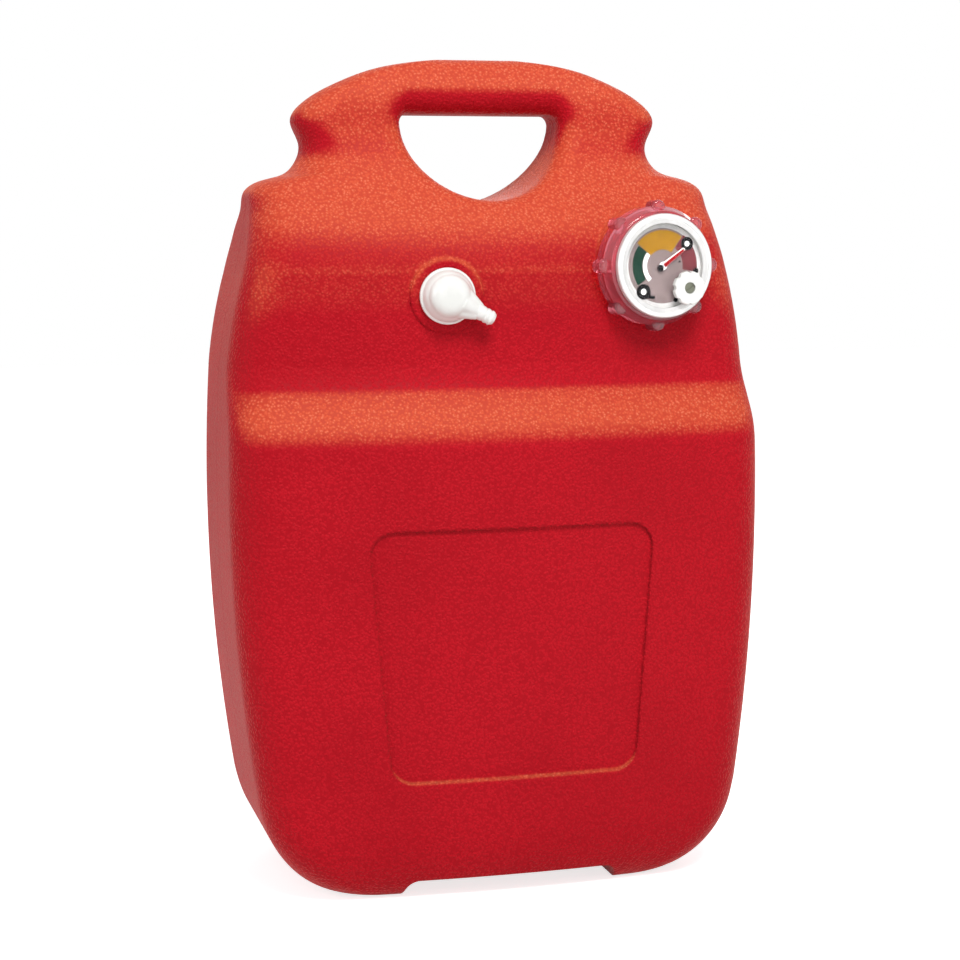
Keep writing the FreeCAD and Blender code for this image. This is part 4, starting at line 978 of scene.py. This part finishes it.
RED_PLASTIC = PebbledPlastic("red_pebbled_plastic", Slot.TANK, (0.49, 0.0062, 0.0152, 1.0))
BLACK_RUBBER = MouldedPlastic("black_seal_rubber", Slot.RUBBER, (0.03, 0.03, 0.032, 1.0),
                              shade=(0.06, 0.06, 0.058, 1.0), roughness=0.7)
BLACK_TUBE = MouldedPlastic("black_tube_plastic", Slot.TUBE, (0.05, 0.05, 0.052, 1.0),
                            shade=(0.09, 0.09, 0.085, 1.0), roughness=0.42)
WHITE_MOULDING = MouldedPlastic("white_moulding", Slot.WHITE, (0.80, 0.80, 0.775, 1.0),
                                shade=(0.66, 0.67, 0.63, 1.0), roughness=0.24, coat=0.4)


class TankBody(Assembly):
    """The blow-moulded tank and what is fixed inside it."""

    def build(self) -> None:
        """Dresses the tank, its gasket, its tube and the strainer."""
        self.dress_node("tank_shell", RED_PLASTIC)
        self.dress_node("neck_gasket", BLACK_RUBBER)
        self.dress_node("dip_tube", BLACK_TUBE)
        self.dress_node("strainer", WHITE_MOULDING)


# ------------------------------------------------------------------ the gauge cap


MAGENTA_PLASTIC = ClearPlastic("magenta_clear_plastic", Slot.NUT, (0.76, 0.21, 0.27, 1.0),
                               transmission=0.85, roughness=0.04,
                               lets_through=(0.68, 0.18, 0.23, 1.0))
SATIN_MOULDING = MouldedPlastic("satin_housing_plastic", Slot.HOUSING,
                                (0.72, 0.71, 0.69, 1.0), shade=(0.60, 0.58, 0.57, 1.0),
                                roughness=0.36)
CLEAR_LENS = ClearPlastic("clear_lens", Slot.LENS, (0.97, 0.98, 0.98, 1.0), roughness=0.015,
                          index=1.12)
DIAL_GREY = PrintedInk("dial_grey", Slot.DIAL, (0.205, 0.153, 0.15, 1.0), roughness=0.42,
                       speckle=0.001)
DIAL_GREEN = PrintedInk("dial_green", Slot.DIAL, (0.004, 0.028, 0.016, 1.0))
DIAL_OCHRE = PrintedInk("dial_ochre", Slot.DIAL, (0.31, 0.148, 0.008, 1.0))
DIAL_MAROON = PrintedInk("dial_maroon", Slot.DIAL, (0.13, 0.024, 0.03, 1.0))
DIAL_BLACK = PrintedInk("dial_black", Slot.DIAL, (0.006, 0.006, 0.007, 1.0))
DIAL_WHITE = PrintedInk("dial_white", Slot.DIAL, (0.80, 0.80, 0.78, 1.0))
DIAL_PALE = PrintedInk("dial_pale", Slot.DIAL, (0.56, 0.54, 0.53, 1.0), speckle=0.0012)
POINTER_WHITE = PrintedInk("pointer_white", Slot.NEEDLE, (0.80, 0.78, 0.76, 1.0),
                           roughness=0.35)
POINTER_RED = PrintedInk("pointer_red", Slot.NEEDLE, (0.32, 0.008, 0.012, 1.0),
                         roughness=0.35)
DRAWN_STEEL = TurnedMetal("drawn_steel", Slot.STEEL, (0.60, 0.60, 0.62, 1.0))
ROLLED_STRIP = TurnedMetal("rolled_strip", Slot.STRIP, (0.74, 0.74, 0.76, 1.0),
                           roughness=0.2)
NICKEL_MAGNET = TurnedMetal("nickel_magnet", Slot.MAGNET, (0.35, 0.34, 0.33, 1.0),
                            roughness=0.25)
BLACK_FOAM = Foam("black_float_foam", Slot.FOAM, (0.05, 0.05, 0.052, 1.0))


@dataclass(frozen=True)
class Band:
    """One printed band of the dial: degrees clockwise from its top, and two radii."""

    name: str
    start: float
    end: float
    inner: float
    outer: float
    finish: Finish


BANDS = (Band("dial_band_low", 234, 308, 13.7, 20.4, DIAL_GREEN),
         Band("dial_line_low", 224, 308, 10.6, 13.4, DIAL_WHITE),
         Band("dial_band_middle", 309, 396, 10.0, 22.0, DIAL_OCHRE),
         Band("dial_band_high", 397, 459, 13.8, 23.6, DIAL_MAROON))
# Ring marks: angle and radius of the centre, outer and inner radius.
RING_MARKS = ((219, 20.4, 4.8, 1.9), (51, 21.4, 4.2, 1.7))
# Dots: angle and radius of the centre, and the dot's own radius.
DOTS = ((98, 22.9, 1.9), (157, 23.0, 1.4), (78, 11.9, 0.8))
# Corners of the bar, from its middle, and of the pointer's stripe, from the spindle.
BAR = ((-2.6, -0.6), (2.9, -1.2), (3.1, 0.7), (-2.4, 1.6))
# The stripe lies toward the blade's -Y edge: the wider white band along its +Y edge is partly
# the white blade, partly a painted edge highlight.
STRIPE = [(0.6, -1.6), (16.8, -0.9), (17.4, -0.1), (16.8, 0.5), (0.6, 0.9)]
GAUGE_FINISHES = (
    ("ring_nut", MAGENTA_PLASTIC), ("gauge_housing", SATIN_MOULDING),
    ("gauge_lens", CLEAR_LENS), ("dial_face", DIAL_GREY), ("gauge_needle", POINTER_WHITE),
    ("needle_spindle", DRAWN_STEEL), ("follower_magnet", NICKEL_MAGNET),
    ("drive_magnet", NICKEL_MAGNET), ("vent_knob", WHITE_MOULDING),
    ("vent_seal", BLACK_RUBBER), ("cage_plate", SATIN_MOULDING),
    ("cage_foot", SATIN_MOULDING), ("guide_rod_right", DRAWN_STEEL),
    ("guide_rod_left", DRAWN_STEEL), ("gauge_float", BLACK_FOAM),
    ("float_driver", SATIN_MOULDING), ("twisted_strip", ROLLED_STRIP))


@dataclass
class GaugeCap(Assembly):
    """The fuel gauge in the filler cap, with the ring nut that holds it."""

    dial_top: float = 16.8
    ink: float = 0.06
    rim_inner: float = 23.2
    rim_outer: float = 26.3
    bar_angle: float = 203.0
    bar_radius: float = 20.9
    bezel_radius: float = 32.0
    bezel_bore: float = 26.0
    bezel_skirt_bore: float = 30.06
    bezel_bottom: float = 17.3
    bezel_seat: float = 20.0
    bezel_top: float = 21.5
    bezel_rim: float = 1.1
    bezel_groove: float = 0.35
    bezel_lip: float = 0.45
    bezel_step: float = 0.75
    bezel_edge: float = 0.4
    bezel_groove_inset: float = 3.1
    needle_bottom: float = 17.4
    needle_top: float = 18.1
    needle_angle: float = 54.3
    needle_hub: float = 2.6
    needle_length: float = 17.4
    needle_half_width: float = 1.0
    needle_edge: float = 0.12
    stripe_height: float = 0.1
    tail_radius: float = 2.1
    tail_offset: float = 2.4
    vent_dish_floor: float = 24.0
    screw_radius: float = 3.3
    screw_height: float = 1.0
    screw_round: float = 0.5
    screw_slot: float = 0.9
    screw_angle: float = 35.0
    seat: Matrix = field(init=False)
    vent_seat: Matrix = field(init=False)

    def build(self) -> None:
        """Builds the bezel, the print, the pointer's stripe and the screw."""
        self.seat = self.fitting_frame("ring_nut_turn")
        self.vent_seat = self.fitting_frame("vent_knob_turn")
        self._bezel()
        self._bands()
        self._marks()
        self._pointer()
        self._vent_screw()
        for name, finish in GAUGE_FINISHES:
            self.dress_node(name, finish)

    def _bezel(self) -> None:
        """The stepped bezel: a rolled rim, a thin groove and a sloping inner land."""
        outer, top = self.bezel_radius, self.bezel_top
        rim, lip, edge = self.bezel_rim, self.bezel_lip, self.bezel_edge
        groove = outer - self.bezel_groove_inset
        deep, land = top - self.bezel_groove, top - self.bezel_step
        profile: Profile = [(self.bezel_skirt_bore, self.bezel_bottom)]
        profile += bow((outer - edge, self.bezel_bottom + edge), edge, -90, 0, 3)
        profile += bow((outer - rim, top - rim), rim, 0, 90, 8)
        profile += [(groove + 0.5, top), (groove + 0.35, deep), (groove - 0.1, deep),
                    (groove - 0.25, top - 0.1)]
        profile += bow((self.bezel_bore + lip, land - lip), lip, 90, 180, 5)
        profile += [(self.bezel_bore, self.bezel_seat), (self.bezel_skirt_bore, self.bezel_seat)]
        bezel = Bench.turned("bezel_ring", profile, steps=128)
        Bench.settle(bezel, self.seat)
        finish = TurnedMetal("satin_bezel", Slot.HOUSING, (0.76, 0.755, 0.745, 1.0),
                             axis=self.seat, metallic=0.35, roughness=0.22)
        self.add(bezel, Body.GAUGE, finish, "gauge_bezel")

    def _print(self, piece: bpy.types.Object, finish: Finish) -> None:
        """Puts a print on the dial."""
        Bench.settle(piece, self.seat)
        self.add(piece, Body.GAUGE, finish)

    def _bands(self) -> None:
        """The pale rim, the three coloured bands and the white arc inside the first."""
        low, high = self.dial_top, self.dial_top + self.ink
        thin = self.dial_top + self.ink / 2
        rim = [(self.rim_inner, low), (self.rim_outer, low), (self.rim_outer, thin),
               (self.rim_inner, thin)]
        self._print(Bench.turned("dial_rim", rim), DIAL_PALE)
        for band in BANDS:
            spans = max(8, round((band.end - band.start) / 4))
            outline = bow((0, 0), band.outer, 90 - band.start, 90 - band.end, spans)
            outline += bow((0, 0), band.inner, 90 - band.end, 90 - band.start, spans)
            self._print(Bench.plate(band.name, outline, low, high), band.finish)

    def _marks(self) -> None:
        """Two ring marks, a short bar and three dots."""
        low, high = self.dial_top, self.dial_top + 2.0 * self.ink
        fill_top = self.dial_top + 1.5 * self.ink
        parts, fills = [], []
        for angle, radius, outer, inner in RING_MARKS:
            place = Matrix.Translation((*(part * MM for part in clock(angle, radius)), 0))
            ring = Bench.turned("ring", [(inner, low), (outer, low), (outer, high),
                                         (inner, high)], steps=40)
            fill = Bench.turned("fill", [(0.0, low), (inner, low), (inner, fill_top),
                                         (0.0, fill_top)], steps=40)
            for piece, group in ((ring, parts), (fill, fills)):
                Bench.settle(piece, place)
                group.append(piece)
        for angle, radius, size in DOTS:
            across, up = clock(angle, radius)
            outline = bow((across, up), size, 0, 345, 23)
            parts.append(Bench.plate("dot", outline, low, high))
        across, up = clock(self.bar_angle, self.bar_radius)
        parts.append(Bench.plate("bar", [(across + x, up + y) for x, y in BAR], low, high))
        self._print(Bench.joined("dial_marks", parts), DIAL_BLACK)
        self._print(Bench.joined("dial_mark_fills", fills), DIAL_WHITE)

    def _pointer(self) -> None:
        """The flat white pointer, the red stripe along it and its dark tail."""
        tilt = self.seat @ Matrix.Rotation(math.radians(90 - self.needle_angle), 4, "Z")
        tip, half = self.needle_length, self.needle_half_width
        outline = bow((0, 0), self.needle_hub, 40, 320, 28)
        outline += [(tip, -half), *bow((tip - 0.2, 0), 0.8, -60, 60, 4), (tip, half)]
        blade = Bench.plate("pointer_blade", outline, self.needle_bottom, self.needle_top)
        Bench.apply(blade, "BEVEL", width=self.needle_edge * MM, segments=2)
        Bench.settle(blade, tilt)
        self.add(blade, Body.NEEDLE, POINTER_WHITE, "gauge_needle")
        low, high = self.needle_top, self.needle_top + self.stripe_height
        # The stripe is set off the blade's middle, so the wider white band it leaves is partly a
        # painted edge highlight.
        stripe = Bench.plate("pointer_stripe", STRIPE, low, high)
        Bench.settle(stripe, tilt)
        self.add(stripe, Body.NEEDLE, POINTER_RED)
        wide = self.tail_radius
        tail = Bench.turned("pointer_tail", [(0.0, low), (wide, low), (wide, low + 0.12),
                                             (wide - 0.2, low + 0.26), (0.0, low + 0.26)],
                            steps=40)
        Bench.settle(tail, tilt @ Matrix.Translation((-self.tail_offset * MM, 0, 0)))
        self.add(tail, Body.NEEDLE, DIAL_BLACK)

    def _vent_screw(self) -> None:
        """The slotted screw in the vent knob's dish."""
        drop = (self.vent_seat.translation - self.seat.translation).dot(
            self.seat.col[2].xyz) / MM
        floor = self.vent_dish_floor - drop
        top, wide, edge = floor + self.screw_height, self.screw_radius, self.screw_round
        profile: Profile = [(0.0, floor), (wide, floor), (wide, top - edge)]
        profile += bow((wide - edge, top - edge), edge, 0, 90, 5) + [(0.0, top)]
        screw = Bench.turned("vent_screw", profile, steps=48)
        Bench.clear()
        bpy.ops.mesh.primitive_cube_add(size=MM, location=(0, 0, top * MM),
                                        scale=(8, self.screw_slot, 1),
                                        rotation=(0, 0, math.radians(self.screw_angle)))
        slot = bpy.context.object
        Bench.settle(slot, Matrix())
        Bench.apply(screw, "BOOLEAN", operation="DIFFERENCE", object=slot, solver="EXACT")
        bpy.data.objects.remove(slot)
        Bench.tidy(screw)
        Bench.settle(screw, self.vent_seat)
        finish = TurnedMetal("dull_screw_metal", Slot.STEEL, (0.17, 0.18, 0.13, 1.0),
                             axis=self.vent_seat, metallic=0.35, roughness=0.4)
        self.add(screw, Body.VENT, finish)


# ------------------------------------------------------------------ the hose fitting


@dataclass
class HoseFitting(Assembly):
    """The swivelling hose elbow and the fixed base under it."""

    dome_radius: float = 15.9
    dome_foot: float = 4.2
    dome_rise: float = 13.5
    tail_height: float = 10.25
    tail_turn: float = -28.0
    neck_start: float = 4.0
    neck_end: float = 20.6
    neck_wide: float = 12.2
    neck_narrow: float = 5.3
    neck_flatness: float = 0.58
    voxel: float = 0.35
    passes: int = 9

    def build(self) -> None:
        """Softens the elbow and dresses the rest."""
        self._elbow()
        for name, finish in (("pickup_washer", BLACK_RUBBER), ("pickup_base", DRAWN_STEEL),
                             ("lower_spigot_seal", BLACK_RUBBER),
                             ("upper_spigot_seal", BLACK_RUBBER)):
            self.dress_node(name, finish)

    def _elbow(self) -> None:
        """The moulded elbow: a full dome, with every sharp inner corner melted away."""
        solid = Bench.copy_node("elbow_solid", self.frame["nodes"]["pickup_elbow"])
        foot, rise = self.dome_foot, self.dome_rise
        slope: Profile = [(self.dome_radius * across, foot + rise * up)
                          for across, up in bow((0, 0), 1.0, 0, 88, 14)]
        crown = slope[-1][1]
        dome = Bench.turned("dome", [(12.0, foot), *slope, (0.0, crown), (0.0, crown - 2.0),
                                     (9.0, foot + 8.0)])
        neck = Bench.turned("neck", [(0.0, self.neck_start), (self.neck_wide, self.neck_start),
                                     (self.neck_narrow, self.neck_end), (0.0, self.neck_end)],
                            steps=64)
        along = Matrix.Translation((0, 0, self.tail_height * MM)) @ Matrix.Rotation(
            math.radians(self.tail_turn), 4, "Z") @ Matrix.Rotation(math.radians(90), 4, "Y")
        Bench.settle(neck, along @ Matrix.Diagonal((self.neck_flatness, 1.0, 1.0, 1.0)))
        for part in (dome, neck):
            Bench.settle(part, self.fitting_frame("elbow_swivel"))
        elbow = Bench.joined("elbow_moulding", [solid, dome, neck])
        Bench.apply(elbow, "REMESH", mode="VOXEL", voxel_size=self.voxel * MM,
                    use_smooth_shade=True)
        Bench.apply(elbow, "SMOOTH", factor=0.5, iterations=self.passes)
        self.add(elbow, Body.ELBOW, WHITE_MOULDING, "pickup_elbow")


# ------------------------------------------------------------------ the studio


@dataclass(frozen=True)
class Lamp:
    """A square soft lamp that looks at the middle of the tank."""

    name: str
    place: tuple[float, float, float]
    size: float
    watts: float


@dataclass
class Studio:
    """Floor, lights, world and camera."""

    azimuth: float = 14.5
    elevation: float = 6.4
    roll: float = -0.42
    distance: float = 1.356
    target_height: float = 0.2507
    focal_pixels: float = 2077.0
    shift_pixels: float = 3.2
    frame_pixels: int = 960
    sensor: float = 36.0
    floor_size: float = 12.0
    floor_drop: float = 0.0003
    floor_glow: float = 0.75
    floor_grey: float = 0.8
    world_light: float = 0.37
    lamps: tuple[Lamp, ...] = (Lamp("key_light", (0.05, -1.2, 1.65), 0.55, 23.0),
                               Lamp("left_light", (-1.7, -0.4, 0.8), 0.9, 6.7),
                               Lamp("front_light", (1.1, -1.7, 0.2), 1.2, 6.8),
                               Lamp("catch_light", (-0.5, -1.5, 0.9), 0.12, 1.3),
                               Lamp("back_light", (0.7, 1.8, 0.9), 1.0, 8.0))

    def build(self) -> None:
        """Sets up the whole studio."""
        self._floor()
        self._world()
        for lamp in self.lamps:
            self._lamp(lamp)
        self._camera()
        bpy.context.scene.view_settings.view_transform = "Standard"

    @staticmethod
    def _background_share(graph: Graph) -> bpy.types.NodeSocket:
        """One for rays that look, mirror or pass through, nought for those that light."""
        path = graph.node("ShaderNodeLightPath").outputs
        share = graph.sum("MAXIMUM", path["Is Camera Ray"], path["Is Glossy Ray"])
        return graph.sum("MAXIMUM", share, path["Is Transmission Ray"])

    def _floor(self) -> None:
        """A white floor that keeps the tank's shadow."""
        Bench.clear()
        bpy.ops.mesh.primitive_plane_add(size=self.floor_size,
                                         location=(0, 0, -self.floor_drop))
        floor = bpy.context.object
        floor.name = floor.data.name = "floor"
        material = bpy.data.materials.new("white_floor")
        material.use_nodes = True
        material.node_tree.nodes.clear()
        graph = Graph(material.node_tree)
        glow = graph.sum("MULTIPLY", self._background_share(graph), self.floor_glow)
        matte = graph.node("ShaderNodeBsdfDiffuse", {"Color": (*[self.floor_grey] * 3, 1)})
        light = graph.node("ShaderNodeEmission", {"Color": (1, 1, 1, 1), "Strength": glow})
        both = graph.node("ShaderNodeAddShader",
                          {0: matte.outputs["BSDF"], 1: light.outputs["Emission"]})
        graph.node("ShaderNodeOutputMaterial", {"Surface": both.outputs[0]})
        floor.data.materials.append(material)

    def _world(self) -> None:
        """A white surround that lights the tank at less than half its brightness."""
        world = bpy.data.worlds.new("studio_world")
        bpy.context.scene.world = world
        world.use_nodes = True
        world.node_tree.nodes.clear()
        graph = Graph(world.node_tree)
        strength = graph.ramp(self._background_share(graph), 0.0, 1.0, self.world_light, 1.0)
        back = graph.node("ShaderNodeBackground",
                          {"Color": (1, 1, 1, 1), "Strength": strength})
        graph.node("ShaderNodeOutputWorld", {"Surface": back.outputs[0]})

    def _lamp(self, lamp: Lamp) -> None:
        """Adds one lamp."""
        Bench.clear()
        bpy.ops.object.light_add(type="AREA", location=lamp.place)
        light = bpy.context.object
        light.name = light.data.name = lamp.name
        light.data.size = lamp.size
        light.data.energy = lamp.watts
        away = Vector((0, 0, self.target_height)) - Vector(lamp.place)
        light.rotation_euler = away.to_track_quat("-Z", "Y").to_euler()

    def _camera(self) -> None:
        """The camera, a little to the tank's left and above its middle."""
        turn, rise, roll = (math.radians(angle)
                            for angle in (self.azimuth, self.elevation, self.roll))
        back = Vector((-math.sin(turn) * math.cos(rise), -math.cos(turn) * math.cos(rise),
                       math.sin(rise)))
        right = Vector((math.cos(turn), -math.sin(turn), 0))
        up = back.cross(right)
        rolled_right = right * math.cos(roll) + up * math.sin(roll)
        rolled_up = up * math.cos(roll) - right * math.sin(roll)
        pose = Matrix((rolled_right, rolled_up, back)).transposed().to_4x4()
        pose.translation = Vector((0, 0, self.target_height)) + back * self.distance
        Bench.clear()
        bpy.ops.object.camera_add()
        camera = bpy.context.object
        camera.name = camera.data.name = "studio_camera"
        camera.matrix_world = pose
        camera.data.sensor_width = self.sensor
        camera.data.lens = self.focal_pixels * self.sensor / self.frame_pixels
        camera.data.shift_x = self.shift_pixels / self.frame_pixels
        bpy.context.scene.camera = camera


def main() -> None:
    """Builds the dressed part and its studio."""
    logging.basicConfig(level=logging.INFO, format="%(name)s: %(message)s")
    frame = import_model()
    Bench.clear()
    finishes = FinishStore(Effects())
    for assembly in (TankBody(frame, finishes), GaugeCap(frame, finishes),
                     HoseFitting(frame, finishes)):
        assembly.build()
        for piece in assembly.pieces:
            LOG.info("%s: %d faces in %s", piece.name, len(piece.data.polygons),
                     piece.material_slots[0].material.name)
    Studio().build()


if __name__ == "__main__":
    main()
